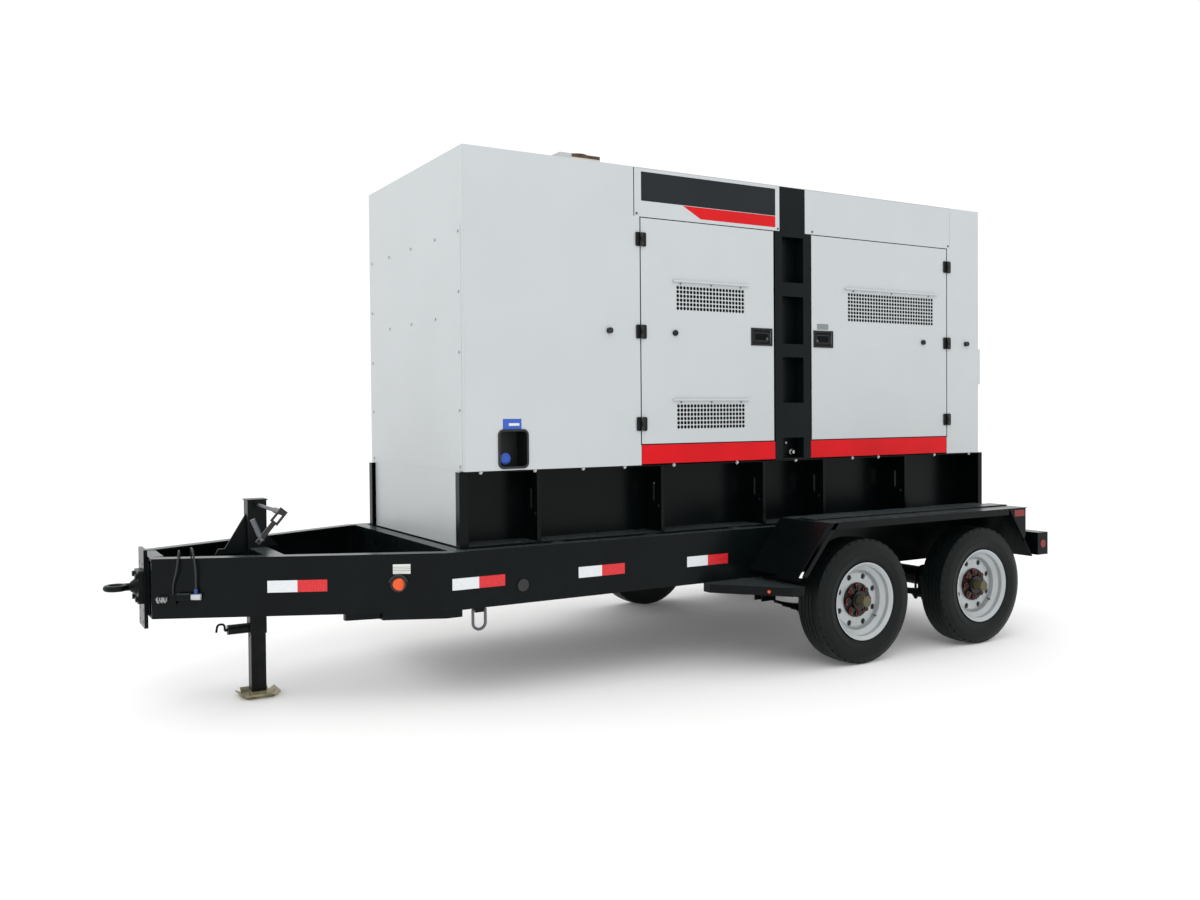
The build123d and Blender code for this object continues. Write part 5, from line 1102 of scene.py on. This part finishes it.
@dataclass
class Enclosure:
    """Vents, banner, labels and small fittings of the sound-proofed housing."""

    front_vents: tuple = ((1.382, 1.900, 2.155, 2.303, 21, 6), (1.382, 1.900, 1.443, 1.594, 21, 6))
    rear_vents: tuple = ((2.774, 3.590, 2.138, 2.330, 32, 8),)
    banner: tuple = (1.135, 2.152, 2.785, 2.955)
    stripe_z: tuple = (2.712, 2.782)
    stripe_x: tuple = (1.433, 1.567, 2.152)
    lap_x: tuple = (2.1445, 2.1860)
    lap_z: tuple = (2.6915, 2.9740)
    lap_depth: tuple = (FACE - 0.0015, FACE + 0.0004)
    film: float = 0.0006
    film_depth: tuple = (FACE + 0.0001, FACE + 0.0006)
    label_corner: float = 0.004
    latch_label: tuple = (2.500, 2.600, 2.076, 2.114)
    fill_label: tuple = (0.226, 0.339, 1.455, 1.516)
    fill_label_mark: tuple = (0.262, 0.326, 1.478, 1.492)
    seal_depth: tuple = (0.738, 0.7543)
    # Depth of the dark strips laid on the panel faces beside the seams: painted shadow of the seams.
    seam_depth: tuple = (FACE, FACE + 0.0004)
    seal_strips: tuple = ((1.1265, 1.1297, 1.356, 2.688), (1.1265, 2.142, 2.6853, 2.6907),
                          (1.1265, 2.142, 1.3535, 1.3595), (2.450, 3.7285, 2.6853, 2.6907),
                          (2.450, 3.7285, 1.3535, 1.3595), (3.7253, 3.7285, 1.356, 2.688))
    # Dark strips on the fixed panels beside the seams, widening them as painted shadow.
    seam_strips: tuple = ((1.0815, 1.0869, 2.692, 2.974), (1.1225, 1.1268, 1.352, 2.692),
                          (3.7282, 3.7322, 1.352, 2.692))
    hinge_heights: tuple = (1.477, 2.018, 2.558)
    hinge_pivots: dict = field(default_factory=lambda: {End.FRONT: (1.128, 1), End.REAR: (3.727, -1)})
    leaf_reach: tuple = (0.0035, 0.0365)
    leaf_half_depth: float = 0.0023
    leaf_half_height: float = 0.041
    leaf_screw_x: float = 0.022
    hinge_lift: float = 0.0062
    hinge_corner: float = 0.009
    lock_offset: float = 0.048
    lock_height: float = 0.026
    lock_radius: float = 0.0095
    hood_screw_shares: tuple = (0.06, 0.5, 0.94)
    hood_screw_lift: float = 0.011
    hood_screw_size: float = 0.8
    header_screws: tuple = ((1.103, 2.708), (2.172, 2.704), (2.462, 2.708), (3.742, 2.708))
    fill_x: tuple = (0.205, 0.372)
    fill_z: tuple = (1.252, 1.450)
    trim_overlap: float = 0.009
    trim_corner: float = 0.032
    trim_width: float = 0.013
    cap_offset: float = 0.046
    roof_mesh_x: float = 0.350
    roof_mesh_drop: float = 0.030
    roof_mesh_size: tuple = (0.42, 1.04)

    def build(self) -> None:
        """Build every detail of the housing."""
        for side in Side:
            self.vents(side)
            self.graphics(side)
            self.latch_details(side)
            self.seals(side)
            self.screws(side)
            self.hinge_covers(side)
        self.fill_fittings()
        self.roof_mesh()

    def seals(self, side: Side) -> None:
        """Black rubber in the gaps round the doors, and dark strips on the panel faces beside the seams of the
        header and the front cover, as painted shadow of those seams.
        """
        # The shadow seam strips are painted shadow beside the seams; the seal strips are the rubber in the gaps.
        strips = [self.slab("strip", side, (x0, x1), (z0, z1), depth)
                  for places, depth in ((self.seal_strips, self.seal_depth), (self.seam_strips, self.seam_depth))
                  for x0, x1, z0, z1 in places]
        Bench.deliver(Bench.join(f"seals_{side.word}", strips), "trailer", "cable_rubber",
                      Dressing(CABLE_RUBBER, specular=0.1).material(f"seal_rubber_{side.word}"))

    def hinge_covers(self, side: Side) -> None:
        """Moulded covers with rounded corners over both leaves of every hinge."""
        material = Dressing(BLACK_PLASTIC, specular=0.25).material(f"hinge_cover_{side.word}")
        for end, (pivot, way) in self.hinge_pivots.items():
            near, far = self.leaf_reach
            leaf = Bench.block("hinge_leaf", (near, -self.leaf_half_depth, -self.leaf_half_height),
                               (far, self.leaf_half_depth, self.leaf_half_height))
            Bench.round_edges(leaf, lambda first, second: first.x > (near + far) / 2 and first.y * second.y < 0,
                              self.hinge_corner, 5)
            Bench.modify(leaf, "BEVEL", width=0.0014, segments=2, limit_method="ANGLE",
                         angle_limit=math.radians(50))
            screw = Bench.drum("hinge_screw", (self.leaf_screw_x, 0.0, 0.0), (0, 1, 0), 0.0055, 0.0066, 12, 0.001)
            leaf = Bench.join("hinge_leaf", [leaf, screw])
            for body, turn in ((f"door_{side.word}_{end.value}", way), ("trailer", -way)):
                flip = Matrix.Diagonal((turn, 1.0, 1.0, 1.0))
                out = side.value * (FACE + self.hinge_lift)
                covers = [Bench.copy(leaf, "cover", Matrix.Translation((FRONT + pivot, out, z)) @ flip)
                          for z in self.hinge_heights]
                name = f"hinge_covers_{side.word}_{end.value}_{'door' if turn == way else 'frame'}"
                Bench.deliver(Bench.join(name, covers), body, "black_plastic", material)
            bpy.data.objects.remove(leaf)

    def screws(self, side: Side) -> None:
        """Dome-headed screws at the header corners and along the drip hoods."""
        screw = Bench.drum("screw", (0, -0.0015, 0), (0, -1, 0), 0.0075, 0.003, 16, 0.0014)
        fixed = [Bench.copy(screw, "screw", Matrix.Translation((FRONT + x, side.value * FACE, z)) @ side.turn)
                 for x, z in self.header_screws]
        material = Dressing(STEEL_ROD).material(f"screw_metal_{side.word}")
        Bench.deliver(Bench.join(f"header_screws_{side.word}", fixed), "trailer", "dark_steel", material)
        for end, vents in ((End.FRONT, self.front_vents), (End.REAR, self.rear_vents)):
            heads = []
            small = Matrix.Scale(self.hood_screw_size, 4)
            for low_x, high_x, _, high_z, *_ in vents:
                for share in self.hood_screw_shares:
                    spot = (FRONT + low_x + (high_x - low_x) * share, side.value * FACE,
                            high_z + self.hood_screw_lift)
                    heads.append(Bench.copy(screw, "screw", Matrix.Translation(spot) @ side.turn @ small))
            Bench.deliver(Bench.join(f"hood_screws_{side.word}_{end.value}", heads),
                          f"door_{side.word}_{end.value}", "dark_steel", material)
        bpy.data.objects.remove(screw)

    def vents(self, side: Side) -> None:
        """Perforated sheets of both doors on one side."""
        material = Dressing(WHITE_COAT, specular=PANEL_GLOSS).material(f"vent_sheet_{side.word}")
        for end, sizes in ((End.FRONT, self.front_vents), (End.REAR, self.rear_vents)):
            for index, size in enumerate(sizes):
                name = f"vent_sheet_{side.word}_{end.value}_{index + 1}"
                Bench.deliver(Vent(*size).build(name, side), f"door_{side.word}_{end.value}", "enclosure_paint",
                              material)

    def slab(self, name: str, side: Side, x_range: Point, z_range: Point, depth: Point,
             **rounding: float) -> bpy.types.Object:
        """Block on the side of the housing.

        Args:
            name: the piece's name.
            side: which side it is on.
            x_range: where it starts and ends, from the housing's front.
            z_range: its lowest and highest level.
            depth: its inner and outer distance from the centre plane.
            rounding: the block's bevel and segments.

        Returns:
            The block.
        """
        (x0, x1), (z0, z1), (inner, outer) = x_range, z_range, depth
        return Bench.block(name, (FRONT + x0, side.value * inner, z0), (FRONT + x1, side.value * outer, z1),
                           **rounding)

    def plate(self, name: str, side: Side, x_range: Point, z_range: Point, material: bpy.types.Material,
              body: str = "trailer") -> bpy.types.Object:
        """Thin film or label with rounded corners on the side of the housing."""
        piece = self.slab(name, side, x_range, z_range, self.film_depth)
        Bench.round_edges(piece, lambda first, second: abs(first.y - second.y) > self.film / 4, self.label_corner, 4)
        return Bench.deliver(piece, body, "black_plastic", material)

    def graphics(self, side: Side) -> None:
        """Lap of the front header over the column, dark banner with a red stripe, and the small labels."""
        lap = self.slab(f"header_lap_{side.word}", side, self.lap_x, self.lap_z, self.lap_depth, bevel=0.0004,
                        segments=1)
        Bench.deliver(lap, "trailer", "enclosure_paint",
                      Dressing(WHITE_COAT, specular=PANEL_GLOSS).material(f"header_lap_{side.word}"))
        dark = Dressing(BANNER_BLACK, depth=0.0001, specular=0.12).material(f"banner_dark_{side.word}")
        red = Dressing(BANNER_RED, depth=0.0001, specular=0.14).material(f"banner_red_{side.word}")
        self.plate(f"banner_dark_{side.word}", side, self.banner[:2], self.banner[2:], dark)
        stripe = self.slab(f"banner_red_{side.word}", side, self.stripe_x[::2], self.stripe_z, self.film_depth)
        slant = self.stripe_x[1] - self.stripe_x[0]
        for vertex in stripe.data.vertices:
            if vertex.co.x < FRONT + self.stripe_x[1] and vertex.co.z < sum(self.stripe_z) / 2:
                vertex.co.x += slant
        Bench.deliver(stripe, "trailer", "red_paint", red)
        grey = Dressing(GREY_LABEL, depth=0.0001).material(f"label_grey_{side.word}")
        self.plate(f"latch_label_{side.word}", side, self.latch_label[:2], self.latch_label[2:], grey,
                   f"door_{side.word}_rear")
        if side is Side.LEFT:
            x0, x1, z0, z1 = self.fill_label_mark

            def mark(board: Board) -> Signal:
                return board.z.between(z0, z1) * board.x.between(FRONT + x0, FRONT + x1)
            blue = Dressing(BLUE_LABEL, ((mark, PALE_LABEL),), depth=0.0001).material("label_blue")
            self.plate("fill_label", side, self.fill_label[:2], self.fill_label[2:], blue)

    def latch_details(self, side: Side) -> None:
        """Key cylinder at the paddle's end of each latch."""
        metal = Dressing(STEEL_ROD, specular=0.3).material(f"lock_metal_{side.word}")
        for end, way in ((End.FRONT, 1), (End.REAR, -1)):
            latch = f"latch_{side.word}_{end.value}"
            spot = (centre_of(latch).x + way * self.lock_offset, side.value * (FACE - 0.001),
                    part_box(latch)[0].z + self.lock_height)
            lock = Bench.drum(f"lock_{side.word}_{end.value}", spot, side.outward, self.lock_radius, 0.004, 24,
                              0.0012)
            Bench.dish(lock, side.outward, 0.003, -0.0015)
            Bench.deliver(lock, latch, "bare_steel", metal)

    def fill_fittings(self) -> None:
        """Rubber trim round the fill opening and the blue cap on the filler neck."""
        (x0, x1), (z0, z1), lap = self.fill_x, self.fill_z, self.trim_overlap
        trim = self.slab("fill_trim", Side.LEFT, (x0 - lap, x1 + lap), (z0 - lap, z1 + lap),
                         (FACE + lap, FACE - 0.004))
        Bench.round_edges(trim, lambda first, second: abs(first.y - second.y) > 0.005, self.trim_corner, 8)
        Bench.edit(trim)
        Bench.pick_faces(trim, lambda middle, normal: abs(normal.y) > 0.9)
        bpy.ops.mesh.inset(thickness=self.trim_width)
        bpy.ops.mesh.bridge_edge_loops()
        Bench.clear()
        Bench.modify(trim, "BEVEL", width=0.003, segments=3, limit_method="ANGLE", angle_limit=math.radians(50))
        Bench.deliver(trim, "trailer", "black_plastic", Dressing(BLACK_PLASTIC).material("fill_trim"))
        spot = (FRONT + x0 + self.cap_offset, -(FACE - 0.034), z0 + self.cap_offset)
        cap = Bench.drum("fill_cap", spot, Side.LEFT.outward, 0.032, 0.024, 18, 0.002)
        Bench.dish(cap, Side.LEFT.outward, 0.010, 0.005)
        Bench.deliver(cap, "trailer", "black_plastic", Dressing(BLUE_CAP).material("fill_cap"))

    def roof_mesh(self) -> None:
        """Wire mesh under the roof's discharge bars."""
        Bench.clear()
        centre = (FRONT + self.roof_mesh_x, 0.0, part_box("side_panels")[1].z - self.roof_mesh_drop)
        bpy.ops.mesh.primitive_grid_add(x_subdivisions=21, y_subdivisions=52, size=1.0, location=centre)
        mesh = bpy.context.object
        mesh.name = "roof_mesh"
        mesh.scale = (*self.roof_mesh_size, 1.0)
        bpy.ops.object.transform_apply(location=True, rotation=True, scale=True)
        Bench.modify(mesh, "WIREFRAME", thickness=0.0026, use_boundary=True)
        Bench.deliver(mesh, "trailer", "bare_steel", Dressing(ZINC).material("roof_mesh"))


# ---- chassis details ------------------------------------------------------------------------------


@dataclass
class Fastener:
    """Hexagon bolt head with a washer, modelled once and copied."""

    across: float = 0.016
    head: float = 0.006

    def model(self) -> bpy.types.Object:
        """Bolt head at the origin that points along -Y."""
        washer = Bench.drum("bolt", (0, -0.0008, 0), (0, -1, 0), self.across * 0.72, 0.0016, 20)
        head = Bench.drum("bolt_head", (0, -0.0016 - self.head / 2, 0), (0, -1, 0), self.across / math.sqrt(3),
                          self.head, 6, 0.0008)
        return Bench.join("bolt", [washer, head])


@dataclass
class Chassis:
    """Bolts, lamp rings, plugs, a label and drain fittings of the trailer frame and the skid base."""

    base_half: float = 0.735
    beam_half: float = 0.851
    bolt_x: tuple = (0.10, 0.43, 0.74, 1.02, 1.37, 1.85, 2.33, 2.83, 3.07, 3.62, 3.98)
    lamp_x: float = -0.375
    lamp_z: float = 0.668
    lamp_ring: float = 0.0365
    lamp_hood: float = 0.047
    lamp_section: float = 0.0055
    recess_bolts: tuple = ((1.36, 1.13), (2.20, 1.12), (2.64, 1.15))
    recess_half: float = 0.530
    bolt_z: float = 1.2285
    knee_x: float = -0.150
    plug_place: tuple = (0.289, 0.618)
    label_place: tuple = (-0.360, 0.746)
    drain_x: float = 2.335
    drain_z: float = 1.280

    def build(self) -> None:
        """Build every detail of the chassis."""
        self.base_bolts()
        self.lamp_rings()
        self.column_fittings()
        self.plugs()

    def tongue_face(self, x: float) -> float:
        """Distance of the tongue beam's outer face from the centre plane, x from the housing's front."""
        return self.beam_half - (self.knee_x - x) * math.tan(TONGUE_ANGLE)

    def base_bolts(self) -> None:
        """Bolts along the base's top flange and on its recessed sides."""
        bolt = Fastener().model()
        copies = []
        for side in Side:
            for x in self.bolt_x:
                spot = Vector((FRONT + x, side.value * (self.base_half - 0.0002), self.bolt_z))
                copies.append(Bench.copy(bolt, "bolt", Matrix.Translation(spot) @ side.turn))
            for x, z in self.recess_bolts:
                spot = Vector((FRONT + x, side.value * self.recess_half, z))
                grow = Matrix.Diagonal((2.0, 1.4, 2.0, 1.0))
                copies.append(Bench.copy(bolt, "bolt", Matrix.Translation(spot) @ side.turn @ grow))
        bpy.data.objects.remove(bolt)
        Bench.deliver(Bench.join("base_bolts", copies), "trailer", "bare_steel",
                      Dressing(ZINC).material("base_bolts"))

    def lamp_rings(self) -> None:
        """Rubber ring round each marker lamp on the tongue, with its hood above."""
        rubber = Dressing(CABLE_RUBBER).material("lamp_rubber")
        for side in Side:
            out = Vector((-math.sin(TONGUE_ANGLE), side.value * math.cos(TONGUE_ANGLE), 0.0))
            spot = Vector((FRONT + self.lamp_x, side.value * self.tongue_face(self.lamp_x), self.lamp_z))
            ring = Bench.ring(f"lamp_ring_{side.word}", spot + out * 0.005, out, self.lamp_ring, self.lamp_section)
            hood = Bench.ring(f"lamp_hood_{side.word}", spot + out * 0.012, out, self.lamp_hood, self.lamp_section,
                              48)
            Bench.edit(hood)
            Bench.pick_faces(hood, lambda middle, normal: middle.z < spot.z + 0.012)
            bpy.ops.mesh.delete(type="FACE")
            Bench.clear()
            hood = Bench.join(f"lamp_ring_{side.word}", [ring, hood])
            Bench.deliver(hood, "trailer", "cable_rubber", rubber)
            x, z = self.plug_place
            plug = Bench.drum(f"frame_plug_{side.word}", (FRONT + x, side.value * (self.beam_half + 0.004), z),
                              side.outward, 0.034, 0.012, 36, 0.003)
            Bench.deliver(plug, "trailer", "cable_rubber", rubber)
        label = Bench.block("tongue_label", (-0.045, -0.0004, -0.025), (0.045, 0.0004, 0.025))
        x, z = self.label_place

        def lines(board: Board) -> Signal:
            return (board.z * 700.0).maths("SINE").ramp(0.55, 0.7) * board.z.between(z - 0.016, z + 0.016)
        spot = Vector((FRONT + x, -self.tongue_face(x) - 0.0006, z))
        label.data.transform(Matrix.Translation(spot) @ Matrix.Rotation(-TONGUE_ANGLE, 4, "Z"))
        pale = Dressing(PALE_LABEL, ((lines, GREY_LABEL),), depth=0.0001)
        Bench.deliver(label, "trailer", "tape", pale.material("tongue_label"))

    def column_fittings(self) -> None:
        """Drain fitting and bolts in the bottom pocket of each lifting column."""
        metal = Dressing(ZINC).material("column_metal")
        for side in Side:
            back = side.value * (FACE - 0.089)
            x, z = FRONT + self.drain_x, self.drain_z
            stem = Bench.drum(f"drain_{side.word}", (x, back, z), side.outward, 0.020, 0.050, 6, 0.002)
            tip = Bench.drum("drain_tip", (x, back + side.value * 0.034, z), side.outward, 0.012, 0.030, 20, 0.002)
            heads = [Bench.drum("drain_bolt", (x + shift, back, z + 0.060), side.outward, 0.009, 0.012, 6, 0.001)
                     for shift in (-0.075, -0.025)]
            Bench.deliver(Bench.join(f"drain_{side.word}", [stem, tip, *heads]), "trailer", "bare_steel", metal)

    def plugs(self) -> None:
        """Trailer plug with its ribbed boot and lid, in place of the plain one."""
        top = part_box("trailer_plug")[1].z
        middle = centre_of("trailer_plug")
        middle.z = top - 0.040
        shell = Bench.drum("trailer_plug_shell", middle, TONGUE_WAY, 0.0165, 0.046, 28, 0.002)
        lid = Bench.drum("plug_lid", middle + TONGUE_WAY * 0.0215, TONGUE_WAY, 0.0168, 0.004, 28, 0.001)
        boot = Bench.drum("plug_boot", (middle.x, middle.y, top - 0.014), (0, 0, 1), 0.0095, 0.028, 20, 0.001)
        bands = [Bench.ring("plug_band", (middle.x, middle.y, top - 0.023 + 0.0055 * level), (0, 0, 1), 0.0088,
                            0.0014, 20) for level in range(4)]
        piece = Bench.join("trailer_plug_shell", [shell, lid, boot, *bands])
        material = Dressing(PLUG_GREY, ((lambda board: board.z > top - 0.027, PLUG_BLUE),))
        Bench.deliver(piece, "trailer", "black_plastic", material.material("trailer_plug_shell"), ("trailer_plug",))


@dataclass
class SafetyWire:
    """Bunched loops of thin steel wire that hang from the breakaway switch."""

    loops: int = 10
    radius: float = 0.0185
    wire: float = 0.0014
    spacing: float = 0.0048
    tie_reach: float = 0.024

    def build(self) -> bpy.types.Object:
        """Lay the loops side by side, each leaning its own way.

        Returns:
            The bunch, in place of the plain coil.
        """
        middle, along = centre_of("breakaway_wire"), TONGUE_WAY
        rings = []
        for index in range(self.loops):
            lean = 0.42 * math.sin(1.9 * index)
            tilt = 0.35 * math.cos(2.7 * index)
            axis = (along + Vector((0.0, 0.0, lean)) + Vector((-along.y, along.x, 0.0)) * tilt).normalized()
            spot = middle + along * (index - (self.loops - 1) / 2) * self.spacing
            size = self.radius * (0.86 + 0.10 * math.sin(3.1 * index))
            rings.append(Bench.ring("wire_loop", spot, axis, size, self.wire, 32))
        ties = [Bench.drum("wire_tie", middle + along * share, along, 0.0042, 0.005, 12, 0.001)
                for share in (-self.tie_reach, self.tie_reach)]
        return Bench.deliver(Bench.join("breakaway_loops", [*rings, *ties]), "trailer", "bare_steel",
                             Dressing(ZINC).material("breakaway_loops"), ("breakaway_wire",))


@dataclass
class Cable:
    """Round cable laid along a route of control points, in metres from the housing's front."""

    name: str
    node: str
    radius: float
    length: float
    route: tuple
    far_end: str

    def build(self) -> bpy.types.Object:
        """Lay the cable as one smooth curve.

        Returns:
            The cable's object.
        """
        curve = bpy.data.curves.new(self.name, "CURVE")
        curve.dimensions = "3D"
        curve.bevel_depth = self.radius
        curve.bevel_resolution = 5
        curve.resolution_u = 10
        curve.use_fill_caps = True
        spline = curve.splines.new("NURBS")
        spline.points.add(len(self.route) - 1)
        for point, place in zip(spline.points, self.route):
            point.co = (FRONT + place[0], place[1], place[2], 1.0)
        spline.order_u = 3
        spline.use_endpoint_u = True
        piece = bpy.data.objects.new(self.name, curve)
        bpy.context.scene.collection.objects.link(piece)
        curve.materials.append(Dressing(CABLE_RUBBER).material(f"{self.name}_jacket"))
        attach(piece, "trailer")
        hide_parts(self.node)
        LOG.info("%s laid", self.name)
        return piece


TOW_CABLE = Cable("tow_cable_run", "tow_cable", 0.0048, 0.484, (
    (-1.2980, -0.3054, 0.742), (-1.2811, -0.2691, 0.742), (-1.2840, -0.2240, 0.766), (-1.2920, -0.1960, 0.808),
    (-1.2990, -0.2060, 0.852), (-1.3040, -0.2480, 0.872), (-1.3070, -0.2980, 0.864), (-1.3060, -0.3340, 0.830),
    (-1.3030, -0.3470, 0.782), (-1.3010, -0.3490, 0.735), (-1.3000, -0.3410, 0.700), (-1.3000, -0.3410, 0.672)),
    "plug")
SWITCH_CABLE = Cable("switch_cable_run", "switch_cable", 0.0042, 0.484, (
    (-1.3450, -0.2835, 0.735), (-1.3311, -0.2536, 0.735), (-1.3340, -0.2120, 0.752), (-1.3420, -0.1840, 0.790),
    (-1.3500, -0.1880, 0.832), (-1.3580, -0.2200, 0.858), (-1.3670, -0.2620, 0.858), (-1.3760, -0.2980, 0.830),
    (-1.3840, -0.3120, 0.786), (-1.3920, -0.3080, 0.742), (-1.3980, -0.2930, 0.708), (-1.4000, -0.2814, 0.676),
    (-1.4000, -0.2814, 0.645)), "object")


# ---- running gear ---------------------------------------------------------------------------------


@dataclass
class Tyre:
    """Ribbed trailer tyre: rounded sidewalls with rings, grooved tread and cut shoulders."""

    radius: float = 0.385
    half_width: float = 0.104
    bead: float = 0.2235
    groove_depth: float = 0.009
    steps: int = 120
    shoulder: tuple = (0.366, 0.383, 0.079)
    cut_every: int = 3
    cut_depth: float = 0.005
    crown_drop: float = 0.0040
    ribs: tuple = (-0.074, -0.045, -0.015, 0.015, 0.045, 0.074)

    def profile(self) -> list[tuple[float, float]]:
        """Cross-section as radius and offset from the tyre's middle, from one bead round to the other."""
        half, top = self.half_width, self.radius
        wall = [(self.bead, 0.078), (self.bead + 0.010, 0.086), (self.bead + 0.020, 0.0895),
                (self.bead + 0.024, 0.093), (self.bead + 0.030, 0.0935), (self.bead + 0.034, 0.0975),
                (0.276, 0.1018), (0.288, half),
                (0.291, half), (0.2915, 0.1028), (0.297, 0.1028), (0.2975, half), (0.305, half),
                (0.322, 0.1032), (0.338, 0.1005), (0.3395, 0.0985), (0.343, 0.0985), (0.345, 0.0975),
                (0.358, 0.0930), (0.368, 0.0885), (0.376, 0.0840), (top - 0.0045, 0.0800)]
        tread = []
        for index in range(len(self.ribs) - 1, 0, -1):
            high, low = self.ribs[index], self.ribs[index - 1]
            crown, after = (top - self.crown_drop * (abs(place) / self.ribs[-1]) ** 2 for place in (high, low))
            tread += [(crown, high), (after, low + 0.006)]
            if index > 1:
                tread += [(after - self.groove_depth, low + 0.0045), (after - self.groove_depth, low + 0.0015),
                          (after, low)]
        other = [(radius, -offset) for radius, offset in reversed(wall)]
        return wall + tread + other

    def build(self) -> bpy.types.Object:
        """Spin the profile and cut the shoulders.

        Returns:
            A tyre about the Y axis at the origin.
        """
        outline = self.profile()
        Bench.clear()
        bpy.ops.mesh.primitive_circle_add(vertices=len(outline), radius=0.1)
        piece = bpy.context.object
        for vertex, (radius, offset) in zip(piece.data.vertices, outline):
            vertex.co = (radius, offset, 0.0)
        Bench.edit(piece, "EDGE")
        bpy.ops.mesh.select_all(action="SELECT")
        bpy.ops.mesh.spin(steps=self.steps, angle=2 * math.pi, center=(0, 0, 0), axis=(0, 1, 0))
        bpy.ops.mesh.select_all(action="SELECT")
        bpy.ops.mesh.remove_doubles(threshold=0.00005)
        bpy.ops.mesh.normals_make_consistent(inside=False)
        step = 2 * math.pi / self.steps

        def on_shoulder(middle: Vector, normal: Vector) -> bool:
            turn = math.atan2(middle.z, middle.x) / step
            reach = math.hypot(middle.x, middle.z)
            low, high, side = self.shoulder
            return math.floor(turn) % self.cut_every == 0 and low < reach < high and abs(middle.y) > side
        Bench.pick_faces(piece, on_shoulder)
        bpy.ops.mesh.inset(thickness=0.002)
        bpy.ops.mesh.extrude_region_shrink_fatten(TRANSFORM_OT_shrink_fatten={"value": -self.cut_depth})
        Bench.clear()
        return piece


@dataclass
class Wheels:
    """Tyres, nut pointers, valve stems and cap details of the four wheels."""

    centre_y: float = 1.184
    nuts: int = 8
    nut_circle: float = 0.0825
    pointer_face: float = 1.2205
    pointer_lean: float = 0.9
    valve_place: tuple = (0.140, 1.218, -0.108)
    valve_way: tuple = (0.30, -0.25)
    cap_face: float = 1.2925

    def build(self) -> None:
        """Model one wheel's pieces and copy them to every wheel."""
        tyre = Tyre().build()
        for side in Side:
            for end in End:
                centre = centre_of(f"rim_{side.word}_{end.value}")
                centre.y = side.value * self.centre_y
                body = f"wheel_{side.word}_{end.value}"
                twin = Bench.copy(tyre, f"{body}_tyre", Matrix.Translation(centre))
                rubber = Dressing(TYRE_RUBBER, specular=TYRE_GLOSS).material(f"{body}_rubber")
                Bench.deliver(twin, body, "tyre_rubber", rubber, (f"tyre_{side.word}_{end.value}",), 28.0)
                self.pointers(side, centre, body)
                self.valve(side, centre, body)
        bpy.data.objects.remove(tyre)

    def pointers(self, side: Side, centre: Vector, body: str) -> None:
        """Arrow-shaped nut pointers round the hub."""
        arrows = []
        for index in range(self.nuts):
            turn = 2 * math.pi * index / self.nuts
            spot = Vector((centre.x + self.nut_circle * math.cos(turn), side.value * self.pointer_face,
                           centre.z + self.nut_circle * math.sin(turn)))
            ring = Bench.ring("pointer", spot, side.outward, 0.0165, 0.0018, 20)
            aim = Vector((math.cos(turn + self.pointer_lean), 0.0, math.sin(turn + self.pointer_lean)))
            tip = Bench.drum("pointer_tip", spot + aim * 0.021, side.outward, 0.0065, 0.004, 3, 0.0006)
            arrows += [ring, tip]
        Bench.deliver(Bench.join(f"{body}_pointers", arrows), body, "lens",
                      Dressing(POINTER_RED).material(f"{body}_pointers"))

    def valve(self, side: Side, centre: Vector, body: str) -> None:
        """Valve stem through the disc and the rings of the oil cap."""
        out = side.value
        (right, face, up), (way_x, way_z) = self.valve_place, self.valve_way
        stem = Bench.drum(f"{body}_valve", (centre.x + right, out * face, centre.z + up), (way_x, out, way_z),
                          0.0038, 0.026, 14, 0.001)
        cap = Bench.ring("cap_ring", (centre.x, out * self.cap_face, centre.z), side.outward, 0.0245, 0.0022, 32)
        Bench.deliver(Bench.join(f"{body}_valve", [stem, cap]), body, "bare_steel",
                      Dressing(OLIVE_CAP).material(f"{body}_valve"))


def main() -> None:
    """Build the sub-assemblies in order and report each piece."""
    logging.basicConfig(level=logging.INFO, format="%(message)s")
    Studio().build()
    Dresser().build()
    Enclosure().build()
    Chassis().build()
    SafetyWire().build()
    TOW_CABLE.build()
    SWITCH_CABLE.build()
    Wheels().build()
    Bench.clear()


if __name__ == "__main__":
    main()
